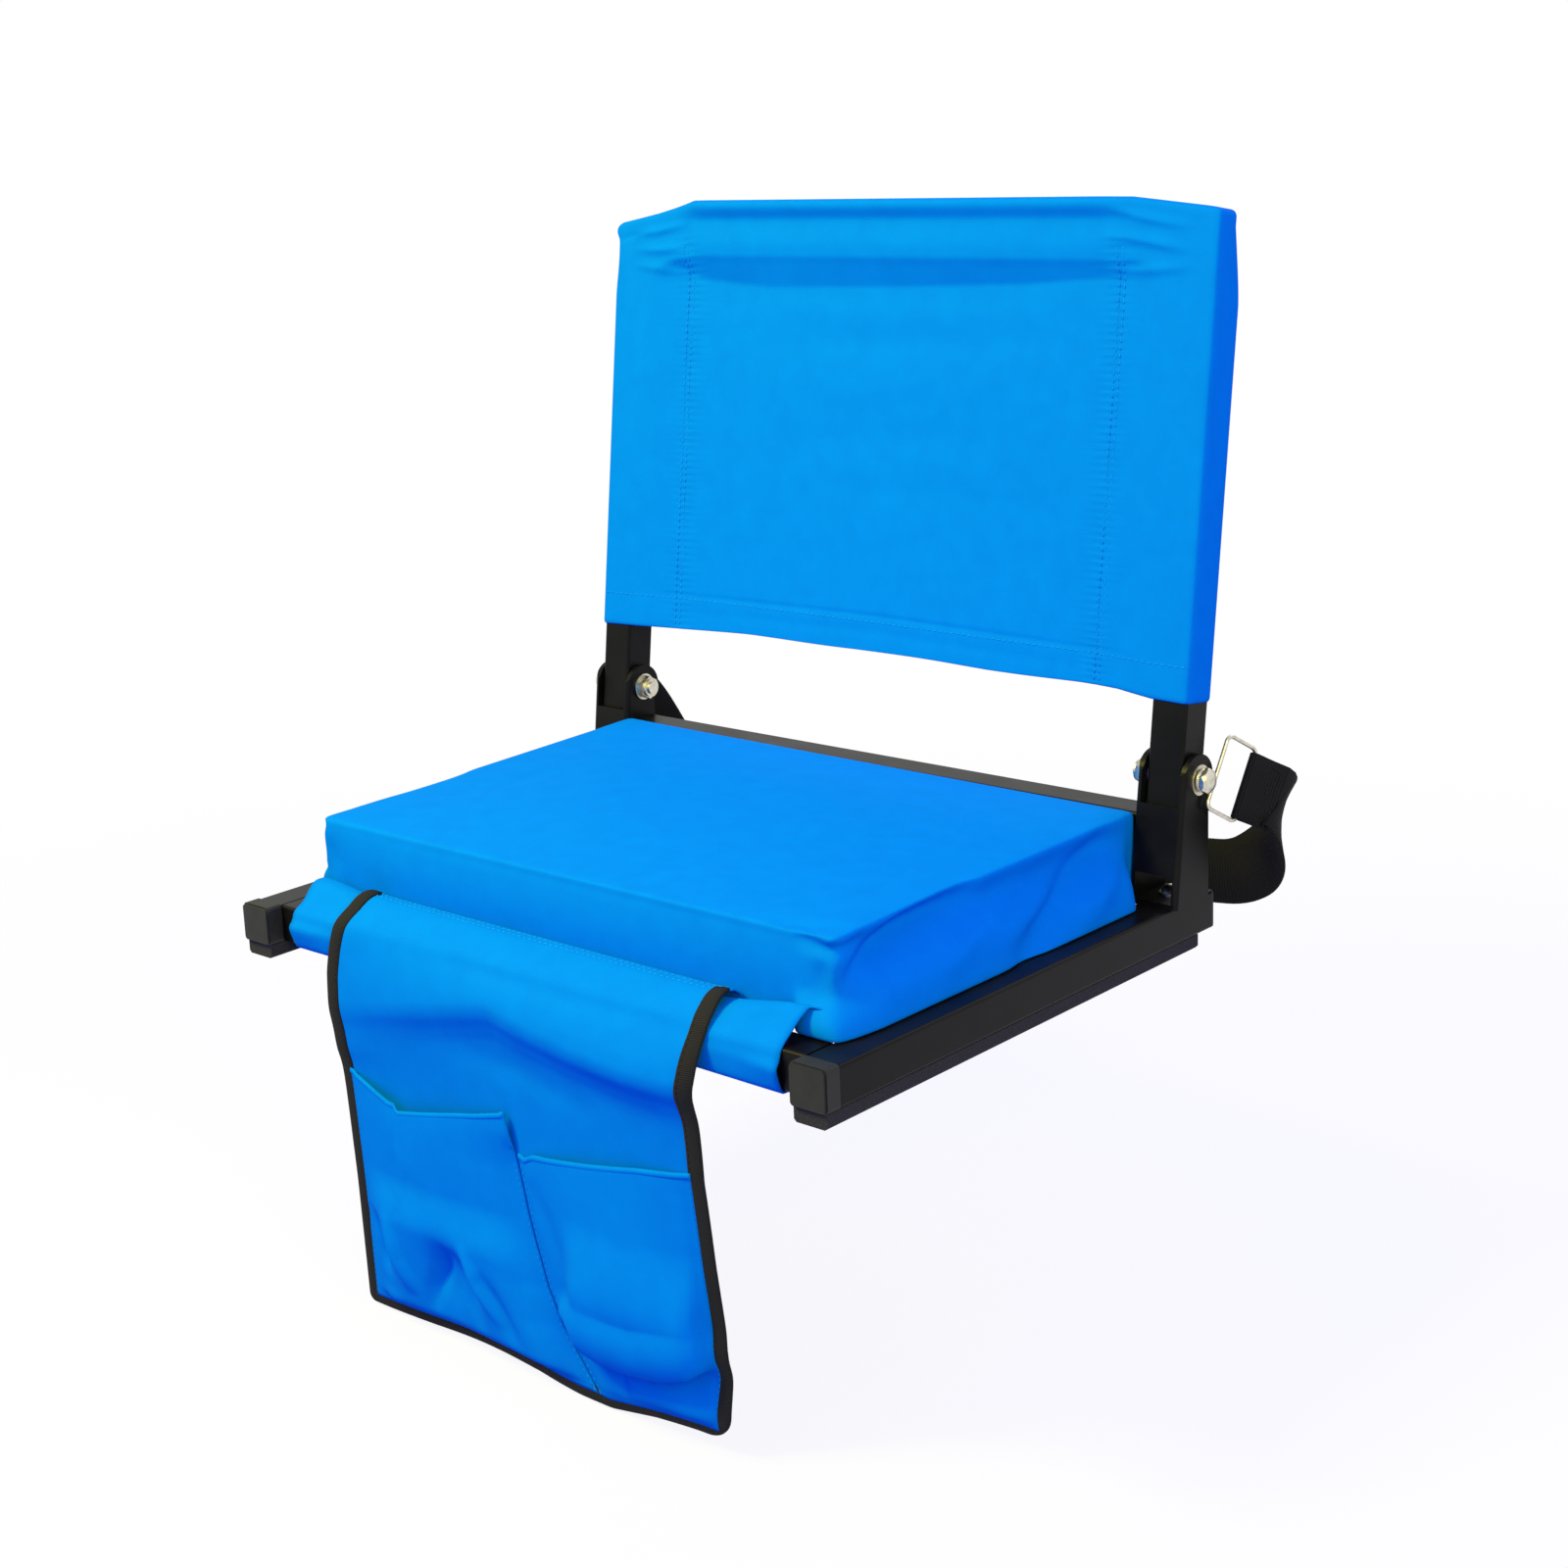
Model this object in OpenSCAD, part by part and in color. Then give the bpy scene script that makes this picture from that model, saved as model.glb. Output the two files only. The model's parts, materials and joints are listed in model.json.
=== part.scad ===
// Folding bleacher seat: two runner rails, a reclined folding back, a box cushion,
// a hanging pocket flap and a carry strap on wire rings.
// Millimetres. X to the sitter's left and right, Y backwards, Z up.
// The origin is the middle of the rails' footprint, on the bench top.

/* [Seat frame] */
// Width over the two rails
seat_w = 440; // [400:1:500]
// Length of a rail with its front cap
rail_l = 335; // [315:1:400]
// Side of the square steel tube
tube_w = 22; // [20:0.5:25]
// Wall of the square steel tube
tube_t = 1.5; // [1.2:0.1:2]
// Outer corner radius of the square tube
tube_r = 2; // [1:0.1:2.5]
// Length of the front cap's head
cap_l = 11; // [8:0.5:16]
// How far the cap's head stands proud of the rail
cap_proud = 0.4; // [0.2:0.1:0.8]
// Length of the ribbed plug inside a tube end
plug_l = 14; // [10:1:20]
// Distance from the cap to the front cross tube
front_gap = 0.8; // [0.5:0.1:3]
// Distance from the rear cross tube to the hinge brackets
rear_gap = 5; // [3:0.5:10]

/* [Runner strips] */
// Thickness of the foam strip under a rail
strip_t = 8; // [5:0.5:12]
// Width of the foam strip
strip_w = 20.5; // [16:0.5:22]
// Distance of the strip behind the front face
strip_front = 2; // [1:0.5:6]
// Length of rail left bare behind the strip
strip_back = 13; // [5:1:30]

/* [Hinge brackets] */
// Height of the hinge pin above the bench
pivot_z = 99; // [94:0.5:110]
// Distance from the rail's rear end to the hinge pin
pivot_back = 20; // [16:0.5:30]
// Thickness of the bracket's folded sheet
sheet_t = 3; // [2:0.25:4]
// Radius of the rounded ear round the hinge pin
ear_r = 14; // [12:0.5:17]
// Height of the window under the web
window_h = 18; // [14:0.5:24]
// Drop from the hinge pin to the web's top edge
web_drop = 15; // [14:0.5:20]
// Height of the cheek's front shoulder above the hinge pin
shoulder_h = 8; // [4:0.5:11]
// Distance from the hinge pin back to the cheek's lower rear edge
cheek_rear = 9.5; // [8:0.5:13]
// Diameter of the hinge pin bolt
pin_d = 8; // [6:0.5:10]
// Radial running clearance of the hinge pin in the upright
pin_clear = 0.1; // [0.05:0.05:0.2]
// Thickness of the nylon washer beside an upright
nylon_t = 1; // [0.6:0.1:1.6]
// Side play on each face of a nylon washer
side_play = 0.1; // [0.05:0.05:0.3]
// Gap between the upright and the web that stops it
stop_gap = 0.3; // [0.2:0.1:0.6]
// Diameter of the bolt that holds a bracket down
foot_d = 6; // [5:0.5:8]
// Distance from the brace bar's top to the hinge pin
brace_drop = 20.5; // [19:0.5:26]

/* [Folding back] */
// Lean of the back when it is open
recline = 7.5; // [4:0.5:12]
// Height of the back frame above the hinge pin
back_h = 309; // [260:1:360]
// Length of an upright below the hinge pin
tail_l = 52; // [44:0.5:53]
// Centreline radius of the frame's two top bends
bend_r = 58; // [40:1:70]
// Distance from the hinge pin up to the cover's lower hem
hem_h = 38.5; // [32:0.5:80]
// Thickness of the cover's cloth
cover_t = 1; // [0.8:0.1:1.6]
// Gap between the cover and the frame inside it
cover_gap = 0.3; // [0.2:0.1:0.6]
// Width of the sleeve outside its stitched seam
sleeve_w = 62; // [56:1:80]
// Height of the top sleeve above its stitched seam
sleeve_h = 42; // [36:1:60]
// Set back of the panel's middle from the back's centre plane
panel_set = -6; // [-9:0.5:0]
// Drop of the cover's top edge at its outer corners
corner_drop = 11; // [6:0.5:14]

/* [Seat cloth and cushion] */
// Gap between the sling's edge and a rail
sling_side = 12; // [6:1:30]
// Thickness of the sling's cloth
sling_t = 1.2; // [0.8:0.1:1.6]
// Gap between the sling and the tubes
sling_gap = 0.3; // [0.2:0.1:0.5]
// Height of the sling's loose roll in front of the cushion
roll_h = 5.5; // [2:0.5:7]
// Gap between the cushion's side and a hinge bracket
cushion_side = 1.8; // [1:0.1:10]
// Distance from the rail's front to the cushion's front
cushion_front = 42; // [38:0.5:60]
// Distance from the cushion's rear to the brace bar
cushion_back = 1.5; // [1:0.5:10]
// Height of the cushion's side from the sling to the top seam
cushion_h = 47; // [36:1:47]
// Crown of the cushion's top above its seam
cushion_crown = 4.5; // [2:0.5:5]
// Draw of the cushion's sides between its corners
cushion_draw = 2.5; // [0:0.5:5]
// Corner radius of the cushion seen from above
cushion_r = 13; // [8:1:24]
// Thickness of a hook strip under the cushion
hook_t = 1.6; // [1:0.1:2.5]
// Width of a hook strip
hook_w = 25; // [15:1:40]

/* [Pocket flap] */
// Width of the flap with its binding
flap_w = 284; // [240:1:300]
// Sideways place of the flap's middle
flap_x = -12; // [-30:1:30]
// Drop of the flap below the bench top
flap_drop = 204; // [160:1:230]
// Thickness of the flap's cloth
flap_t = 1; // [0.8:0.1:1.4]
// Gap between the flap and the cloth behind it
flap_gap = 0.4; // [0.3:0.1:0.8]
// Width of the binding tape
bind_w = 9; // [6:0.5:12]
// Thickness of the folded binding tape
bind_t = 2.2; // [1.6:0.1:3]
// Length of the flap tucked under the cushion
tuck_l = 60; // [40:1:120]
// Drop of the pockets' mouths below the bench top
mouth_drop = 50; // [40:1:70]
// Widest opening of a pocket's mouth
mouth_gape = 12; // [8:0.5:18]
// Thickness of a pocket's cloth
pocket_t = 0.8; // [0.6:0.1:1.2]
// Depth of the flap's soft folds
fold_depth = 3; // [0:0.5:4]
// Spread of the flap's lower corners
flap_flare = 1.5; // [0:0.5:12]
// Sideways drift of the flap's lower edge
flap_sway = 1.5; // [0:0.5:24]
// Backwards drift of the flap's lower edge
flap_lean = 12; // [0:1:20]
// Place of the seam between the pockets, as a share of the half width
seam_at = 0.02; // [-0.2:0.01:0.2]
// Sideways drift of that seam at the lower edge, as a share of the half width
seam_lean = 0.04; // [0:0.01:0.3]
// Sag of the pockets' mouths
mouth_sag = 12; // [0:1:20]

/* [Carry strap] */
// Width of the webbing
strap_w = 38; // [30:1:40]
// Thickness of the webbing
strap_t = 1.6; // [1.2:0.1:2.2]
// Diameter of the ring's wire
wire_d = 2.4; // [2:0.1:3]
// Inner height of the ring, along the webbing's width
ring_h = 40; // [38:0.5:46]
// Width of the ring between its two long sides
ring_w = 23.5; // [18:0.5:30]
// Distance from the hinge pin to the ring's near side
neck_l = 10; // [10:0.5:16]
// Distance of the ring's eye below the middle of that side
eye_drop = 9.5; // [0:0.5:12]
// Tilt of the ring below level
ring_tilt = 33; // [20:1:40]
// Distance from the hinge pin back to the hanging strap
strap_back = 57; // [50:1:70]
// Lean of the ring away from the seat
ring_lean = 15; // [8:1:20]

/* [Hidden] */
$fn = 48;

steel = "#151517";
plastic = "#303133";
foam = "#3a3a36";
zinc = "#d8d4c4";
nylon = "#e8e6dc";
blue = "#0a90f0";
webbing = "#222220";

eps = 0.01;
front_y = -rail_l / 2;
back_y = rail_l / 2;
rail_x = (seat_w - tube_w) / 2;
rail_z = strip_t + tube_w / 2;
deck_z = strip_t + tube_w;
inner_w = seat_w - 2 * tube_w;
sling_w = inner_w - 2 * sling_side;
bore_w = tube_w - 2 * tube_t;
bore_r = max(tube_r - tube_t, 0.4);
plug_clear = 0.1;
plug_w = bore_w - 2 * plug_clear;
plug_head = 1.5;
pivot_y = back_y - pivot_back;
play = nylon_t + 2 * side_play;
cheek_in = tube_w / 2 + play;
cheek_out = cheek_in + sheet_t;
cushion_w = 2 * (rail_x - cheek_out - cushion_side);
web_in = tube_w / 2 + stop_gap;
web_out = web_in + sheet_t;
bracket_front = pivot_y - (pivot_z - deck_z) * tan(recline) - web_out / cos(recline);
front_tube_y = front_y + cap_l + front_gap + tube_w / 2;
rear_tube_y = bracket_front - rear_gap - tube_w / 2;

// Rounded square outline, side w and corner radius r
module round_square(w, r) {
    square([w, w - 2 * r], center = true);
    square([w - 2 * r, w], center = true);
    for (x = [-1, 1], y = [-1, 1]) translate([x * (w / 2 - r), y * (w / 2 - r)]) circle(r);
}

// Section of the square steel tube
module tube_section() {
    difference() {
        round_square(tube_w, tube_r);
        round_square(bore_w, bore_r);
    }
}

// Straight tube of length l, centred on the origin along X
module cross_tube(l) {
    rotate([90, 0, 90]) linear_extrude(l, center = true) tube_section();
}

module place_side(side) {
    translate([side * rail_x, 0, 0]) children();
}

// Bolt hole through a rail's top wall for a bracket's foot bolt
foot_y = pivot_y - (pivot_z - deck_z) * tan(recline) + 5;
foot_hole = foot_d + 0.4;
foot_nut_d = foot_d + 4;

module rail(side) {
    rail_start = front_y + cap_l;
    color(steel) place_side(side) difference() {
        translate([0, rail_start, rail_z]) rotate([-90, 0, 0])
            linear_extrude(back_y - rail_start) tube_section();
        translate([0, foot_y, deck_z - tube_t - 1]) cylinder(h = tube_t + 2, d = foot_hole);
    }
}

module left_rail() rail(-1);
module right_rail() rail(1);

module front_tube() {
    color(steel) translate([0, front_tube_y, rail_z]) cross_tube(inner_w);
}

module rear_tube() {
    color(steel) translate([0, rear_tube_y, rail_z]) cross_tube(inner_w);
}

// Bar between the inner cheeks of the two brackets, behind the cushion
brace_z = pivot_z - brace_drop - tube_w / 2;
brace_y = pivot_y + cheek_rear - tube_w / 2;
module brace_bar() {
    brace_l = 2 * (rail_x - cheek_out);
    color(steel) translate([0, brace_y, brace_z]) cross_tube(brace_l);
}

// Moulded head with eased edges and a ribbed plug that fills the tube's end
cap_w = tube_w + 2 * cap_proud;
cap_ease = 1.6;
module front_cap(side) {
    color(plastic) place_side(side) translate([0, front_y, rail_z + cap_proud]) {
        rotate([-90, 0, 0]) {
            translate([0, 0, cap_ease]) linear_extrude(cap_l - cap_ease) round_square(cap_w, tube_r + cap_proud);
            linear_extrude(cap_ease) round_square(cap_w - cap_ease, tube_r);
        }
        translate([0, cap_l, -cap_proud]) ribbed_plug();
    }
}

// Square plug with three grip ribs, running along +Y
rib_t = 1.2;
module ribbed_plug() {
    core_w = plug_w - 1;
    rotate([-90, 0, 0]) linear_extrude(plug_l) round_square(core_w, bore_r);
    for (i = [0:2]) translate([0, plug_l * (0.2 + 0.3 * i), 0]) rotate([-90, 0, 0])
        linear_extrude(rib_t) round_square(plug_w, bore_r);
}

module left_front_cap() front_cap(-1);
module right_front_cap() front_cap(1);

// Flush plug in a rail's rear end
module rear_plug(side) {
    color(plastic) place_side(side) translate([0, back_y, rail_z]) {
        rotate([-90, 0, 0]) linear_extrude(plug_head) round_square(tube_w, tube_r);
        mirror([0, 1, 0]) ribbed_plug();
    }
}

module left_rear_plug() rear_plug(-1);
module right_rear_plug() rear_plug(1);

// Foam strip with eased lower edges
strip_ease = 1.5;
module runner(side) {
    strip_l = rail_l - strip_front - strip_back;
    half = strip_w / 2;
    color(foam) place_side(side) translate([0, front_y + strip_front, 0]) rotate([90, 0, 180])
        linear_extrude(strip_l) polygon([
            [-half + strip_ease, 0], [half - strip_ease, 0], [half, strip_ease],
            [half, strip_t], [-half, strip_t], [-half, strip_ease]
        ]);
}

module left_runner() runner(-1);
module right_runner() runner(1);

// Local frame of the back: origin on the hinge pin, Z up the uprights
module in_back() {
    translate([0, pivot_y, pivot_z]) rotate([-recline, 0, 0]) children();
}

// Outline of a cheek seen from the side, with its origin on the hinge pin; the channel trims its front
module cheek_outline() {
    foot = pivot_z - deck_z;
    lean = tan(recline);
    front = web_out / cos(recline);
    proud = 6;
    soft = 2.5;
    shoulder_y = -front + shoulder_h * lean;
    circle(ear_r);
    polygon([
        [-front - foot * lean - proud, -foot], [cheek_rear, -foot], [cheek_rear, 0], [0, shoulder_h],
        [shoulder_y + soft, shoulder_h], [shoulder_y - proud, shoulder_h - soft - proud]
    ]);
}

// Folded channel whose web stops the upright and whose ears carry the pin
bend_in = 0.4;
module bracket(side) {
    color(steel) place_side(side) difference() {
        union() {
            bracket_channel();
            translate([-cheek_in - sheet_t / 2, bracket_front + bend_in, deck_z])
                cube([2 * cheek_in + sheet_t, foot_l, sheet_t]);
        }
        translate([0, foot_y, deck_z - 1]) cylinder(h = sheet_t + 2, d = foot_hole);
        translate([-cheek_out - 1, pivot_y, pivot_z]) rotate([0, 90, 0])
            cylinder(h = 2 * cheek_out + 2, d = pin_d + 2 * pin_clear);
    }
}

// The channel with its window cut out and its web cut off at the top, leaving the inside of the bends
foot_l = pivot_y + cheek_rear - bracket_front - 2 * bend_in;
module bracket_channel() {
    tall = 160;
    cut_x = cheek_in - bend_in;
    difference() {
        intersection() {
            in_back() translate([0, 0, -tall / 2]) linear_extrude(tall) difference() {
                channel_outline(cheek_out, web_out, sheet_t);
                channel_outline(cheek_in, web_in, 0);
            }
            translate([-cheek_out - 1, pivot_y, pivot_z]) rotate([90, 0, 90])
                linear_extrude(2 * cheek_out + 2) cheek_outline();
        }
        in_back() translate([-cut_x, -web_out - 5, -web_drop]) cube([2 * cut_x, web_out + 4, tall]);
        translate([-cut_x, bracket_front - 10, deck_z + sheet_t / 2])
            cube([2 * cut_x, foot_l, window_h - sheet_t / 2]);
    }
}

// Plan of the channel: open behind, rounded where the web turns into the cheeks
module channel_outline(half, front, r) {
    rear = 40;
    translate([-half, -front + r]) square([2 * half, rear]);
    if (r > 0) {
        translate([-half + r, -front]) square([2 * (half - r), rear]);
        for (x = [-1, 1]) translate([x * (half - r), -front + r]) circle(r);
    }
}

module left_bracket() bracket(-1);
module right_bracket() bracket(1);

// Things on the hinge pin are stacked outwards along X from the upright's middle
washer_t = 1.2;
washer_d = 2 * pin_d + 1;
wire_play = 0.3;
ring_x = cheek_out + washer_t + wire_play + wire_d / 2;
head_x = ring_x + wire_d / 2 + wire_play;
head_h = 5.3;
head_d = 1.63 * pin_d;
nut_h = 6.5;
hex = 6;

module on_pin(side) {
    translate([side * rail_x, pivot_y, pivot_z]) rotate([0, side * 90, 0]) children();
}

// Hexagon with a rounded crown, standing on the XY plane
module hex_head(d, h) {
    intersection() {
        cylinder(h = h, d = d / cos(30), $fn = hex);
        translate([0, 0, h - d * 0.72]) sphere(d * 0.72);
    }
}

module pivot_bolts() {
    color(zinc) for (side = [-1, 1]) on_pin(side) {
        translate([0, 0, head_x]) hex_head(head_d, head_h);
        translate([0, 0, -cheek_out - washer_t - nut_h - 1.5])
            cylinder(h = cheek_out + washer_t + nut_h + 1.5 + head_x, d = pin_d);
    }
}

module pivot_nuts() {
    nut_clear = 0.05;
    color(zinc) for (side = [-1, 1]) on_pin(side) translate([0, 0, -cheek_out - washer_t]) mirror([0, 0, 1]) {
        difference() {
            union() {
                cylinder(h = nut_h - 1.6, d = head_d / cos(30), $fn = hex);
                cylinder(h = nut_h, d = head_d - 1);
            }
            translate([0, 0, -1]) cylinder(h = nut_h + 2, d = pin_d + 2 * nut_clear);
        }
    }
}

module flat_washer(outer, hole, t) {
    difference() {
        cylinder(h = t, d = outer);
        translate([0, 0, -1]) cylinder(h = t + 2, d = hole);
    }
}

module steel_washers() {
    color(zinc) for (side = [-1, 1], z = [cheek_out, -cheek_out - washer_t]) on_pin(side)
        translate([0, 0, z]) flat_washer(washer_d, pin_d + 0.4, washer_t);
}

module nylon_washers() {
    inside = tube_w / 2 + side_play;
    color(nylon) for (side = [-1, 1], z = [inside, -inside - nylon_t]) on_pin(side)
        translate([0, 0, z]) flat_washer(washer_d, pin_d + 0.4, nylon_t);
}

foot_top = deck_z + sheet_t;
foot_washer_t = 1.2;
foot_head = 1.67 * foot_d;

module at_foot(side, z) {
    translate([side * rail_x, foot_y, z]) children();
}

module foot_bolts() {
    color(zinc) for (side = [-1, 1]) at_foot(side, foot_top + foot_washer_t) {
        hex_head(foot_head, 0.67 * foot_d);
        mirror([0, 0, 1]) cylinder(h = foot_washer_t + sheet_t + tube_t + foot_d + 1, d = foot_d);
    }
}

module foot_washers() {
    color(zinc) for (side = [-1, 1]) at_foot(side, foot_top)
        flat_washer(2 * foot_d + 1, foot_hole, foot_washer_t);
}

module foot_nuts() {
    color(zinc) for (side = [-1, 1]) at_foot(side, deck_z - tube_t) mirror([0, 0, 1]) difference() {
        cylinder(h = foot_d, d = foot_nut_d / cos(30), $fn = hex);
        translate([0, 0, -1]) cylinder(h = foot_d + 2, d = foot_d + 0.1);
    }
}

// Bent square tube: two uprights and a top bar in one piece
bend_z = back_h - tube_w / 2 - bend_r;
bend_x = rail_x - bend_r;
module back_frame() {
    tail = tail_l - plug_head;
    color(steel) in_back() difference() {
        union() {
            for (side = [-1, 1]) {
                translate([side * rail_x, 0, -tail]) linear_extrude(tail + bend_z) tube_section();
                translate([side * bend_x, 0, bend_z]) mirror([side < 0 ? 1 : 0, 0, 0]) rotate([90, 0, 0])
                    rotate_extrude(angle = 90) translate([bend_r, 0]) tube_section();
            }
            translate([0, 0, bend_z + bend_r]) cross_tube(2 * bend_x);
        }
        for (side = [-1, 1]) translate([side * rail_x - tube_w, 0, 0]) rotate([0, 90, 0])
            cylinder(h = 2 * tube_w, d = pin_d + 2 * pin_clear);
    }
}

module upright_plugs() {
    color(plastic) in_back() for (side = [-1, 1]) translate([side * rail_x, 0, -tail_l]) {
        linear_extrude(plug_head) round_square(tube_w, tube_r);
        translate([0, 0, plug_head]) rotate([90, 0, 0]) ribbed_plug();
    }
}

// The cover is two layers of cloth sewn together inside its sleeves
cover_x = seat_w / 2 + cover_gap + cover_t;
cover_y = tube_w / 2 + cover_gap + cover_t;
cover_top = back_h + cover_gap + cover_t;
seam_x = cover_x - sleeve_w;
seam_z = cover_top - sleeve_h;
tube_in_x = seat_w / 2 - tube_w - cover_gap;
tube_in_z = back_h - tube_w - cover_gap;

// Section of a sleeve from its outer edge o, past the tube's inner edge i, to its seam s
function sleeve_points(o, i, s, inset) = inset > 0
    ? [[o - inset, -cover_y + inset], [o - inset, cover_y - inset], [i, cover_y - inset],
       [s + 5 * inset, panel_set], [i, -cover_y + inset]]
    : [[o, -cover_y], [o, cover_y], [i - 0.6 * cover_t, cover_y], [s, panel_set + cover_t],
       [s, panel_set - cover_t], [i - 0.6 * cover_t, -cover_y]];

module sleeve_space(inset) {
    low = inset > 0 ? -1 : 0;
    gusset = bend_r - tube_w / 2 + cover_gap + (inset > 0 ? 0 : cover_t);
    span_x = cover_x - inset;
    for (side = [0, 1]) mirror([side, 0, 0]) {
        translate([0, 0, hem_h + low]) linear_extrude(cover_top - hem_h - low - inset)
            polygon(sleeve_points(cover_x, tube_in_x, seam_x, inset));
        translate([0, cover_y - inset, 0]) rotate([90, 0, 0]) linear_extrude(2 * (cover_y - inset)) polygon([
            [tube_in_x - gusset, tube_in_z], [tube_in_x, tube_in_z - gusset],
            [span_x, tube_in_z - gusset], [span_x, cover_top - inset], [tube_in_x - gusset, cover_top - inset]
        ]);
    }
    rotate([90, 0, 90]) linear_extrude(2 * span_x, center = true)
        polygon([for (p = sleeve_points(cover_top, tube_in_z, seam_z, inset)) [p[1], p[0]]]);
}

// Front outline of the cover; its top edge falls away to the corners along a line that just clears the bends
module cover_outline(inset) {
    x = cover_x - inset;
    top = cover_top - inset;
    ease = 5;
    corner = [x - ease, top - corner_drop];
    to_bend = corner - [bend_x, bend_z];
    clear_r = bend_r + tube_w / 2 + cover_gap + cover_t - inset;
    a = atan2(to_bend[1], to_bend[0]) + acos(clear_r / norm(to_bend));
    fall_x = corner[0] - corner_drop * tan(a);
    polygon([
        [-x, hem_h - 5], [x, hem_h - 5], [x, top - corner_drop - ease], corner,
        [fall_x, top], [-fall_x, top], [-x + ease, top - corner_drop], [-x, top - corner_drop - ease]
    ]);
}

module cut_to_outline(inset) {
    intersection() {
        children();
        translate([0, cover_y + 1, 0]) rotate([90, 0, 0]) linear_extrude(2 * cover_y + 2) cover_outline(inset);
    }
}

module back_cover() {
    color(blue) in_back() {
        difference() {
            cut_to_outline(0) sleeve_space(0);
            cut_to_outline(cover_t) sleeve_space(cover_t);
        }
        translate([-seam_x, panel_set - cover_t, hem_h]) cube([2 * seam_x, 2 * cover_t, seam_z - hem_h]);
    }
}

// Sling: a sleeve round each cross tube and a deck between them, with a loose roll in front
sling_off = sling_gap + sling_t;
sling_top = deck_z + sling_off;
sling_face = front_tube_y - tube_w / 2 - sling_off;
cushion_y0 = front_y + cushion_front;
roll_y = cushion_y0 - 8;
roll_half = 9;
roll_steps = 12;

// Height of the deck's roll at the distance u from its middle, from -1 to 1
function roll(u) = abs(u) < 1 ? roll_h * pow(cos(90 * u), 2) : 0;
function roll_at(y) = roll((y - roll_y) / roll_half);

module sling_sleeve(y) {
    translate([y, rail_z]) difference() {
        round_square(tube_w + 2 * sling_off, tube_r + sling_off);
        round_square(tube_w + 2 * sling_gap, tube_r + sling_gap);
    }
}

// Closed outline of a cloth that follows the roll, its underside at height low
function roll_strip(y0, y1, low, t) = let(
    ys = [for (i = [0:roll_steps]) roll_y - roll_half + 2 * roll_half * i / roll_steps]
) concat(
    [[y0, low]], [for (y = ys) [y, low + roll_at(y)]], [[y1, low]],
    [[y1, low + t]], [for (i = [roll_steps:-1:0]) [ys[i], low + t + roll_at(ys[i])]], [[y0, low + t]]
);

module seat_sling() {
    color(blue) rotate([90, 0, 90]) linear_extrude(sling_w, center = true) {
        difference() {
            sling_sleeve(front_tube_y);
            translate([roll_y - roll_half, deck_z]) square([2 * roll_half, 2 * sling_off]);
        }
        sling_sleeve(rear_tube_y);
        polygon(roll_strip(front_tube_y - tube_w / 2 + tube_r, rear_tube_y, deck_z + sling_gap, sling_t));
    }
}

// Two hook strips that hold the cushion on the sling, in front of and behind the tuck
hook_y1 = rear_tube_y - tube_w / 2 - hook_w;
module hook_strips() {
    l = cushion_w * 0.7;
    color(webbing) translate([-l / 2, hook_y1, sling_top + 0.1]) {
        cube([l, hook_w, hook_t]);
        translate([0, -hook_w * 3, 0]) cube([l, hook_w, hook_t]);
    }
}

// Box cushion as a stack of outlines: flat base, drawn sides, top seam and crown
cushion_z0 = sling_top + 0.1 + hook_t + 0.1;
cushion_y1 = brace_y - tube_w / 2 - cushion_back;
cushion_mid = (cushion_y0 + cushion_y1) / 2;
half_x = cushion_w / 2;
half_y = (cushion_y1 - cushion_y0) / 2;
corner_n = 4;
long_n = 8;
short_n = 6;

function corner_arc(cx, cy, r, a) = [for (i = [0:corner_n]) [cx + r * cos(a + 90 * i / corner_n), cy + r * sin(a + 90 * i / corner_n)]];
function drawn_side(p, q, n, d) = let(u = (q - p) / norm(q - p), inward = [-u[1], u[0]])
    [for (i = [1:n - 1]) let(f = i / n) p + (q - p) * f + inward * d * 4 * f * (1 - f)];

// Rounded rectangle of half sizes a and b, its sides drawn in by d
function outline(a, b, r, d) = let(x = a - r, y = b - r) concat(
    corner_arc(x, y, r, 0), drawn_side([x, b], [-x, b], long_n, d),
    corner_arc(-x, y, r, 90), drawn_side([-a, y], [-a, -y], short_n, d),
    corner_arc(-x, -y, r, 180), drawn_side([-x, -b], [x, -b], long_n, d),
    corner_arc(x, -y, r, 270), drawn_side([a, -y], [a, y], short_n, d)
);

// Joins equal rings of points into one closed skin; a thin sheet's ends are closed in strips
module skin(rings, sheet = false) {
    n = len(rings[0]);
    m = len(rings);
    function at(i, j) = i * n + (j % n);
    strips = [for (j = [0:n / 2 - 2]) each [[j, j + 1, n - 2 - j], [j, n - 2 - j, n - 1 - j]]];
    start = sheet ? strips : [[for (j = [0:n - 1]) j]];
    polyhedron(
        points = [for (ring = rings) each ring],
        faces = concat(
            start,
            [for (face = start) [for (k = [len(face) - 1:-1:0]) at(m - 1, face[k])]],
            [for (i = [0:m - 2], j = [0:n - 1]) each [
                [at(i, j), at(i + 1, j), at(i + 1, j + 1)], [at(i, j), at(i + 1, j + 1), at(i, j + 1)]
            ]]
        )
    );
}

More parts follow.
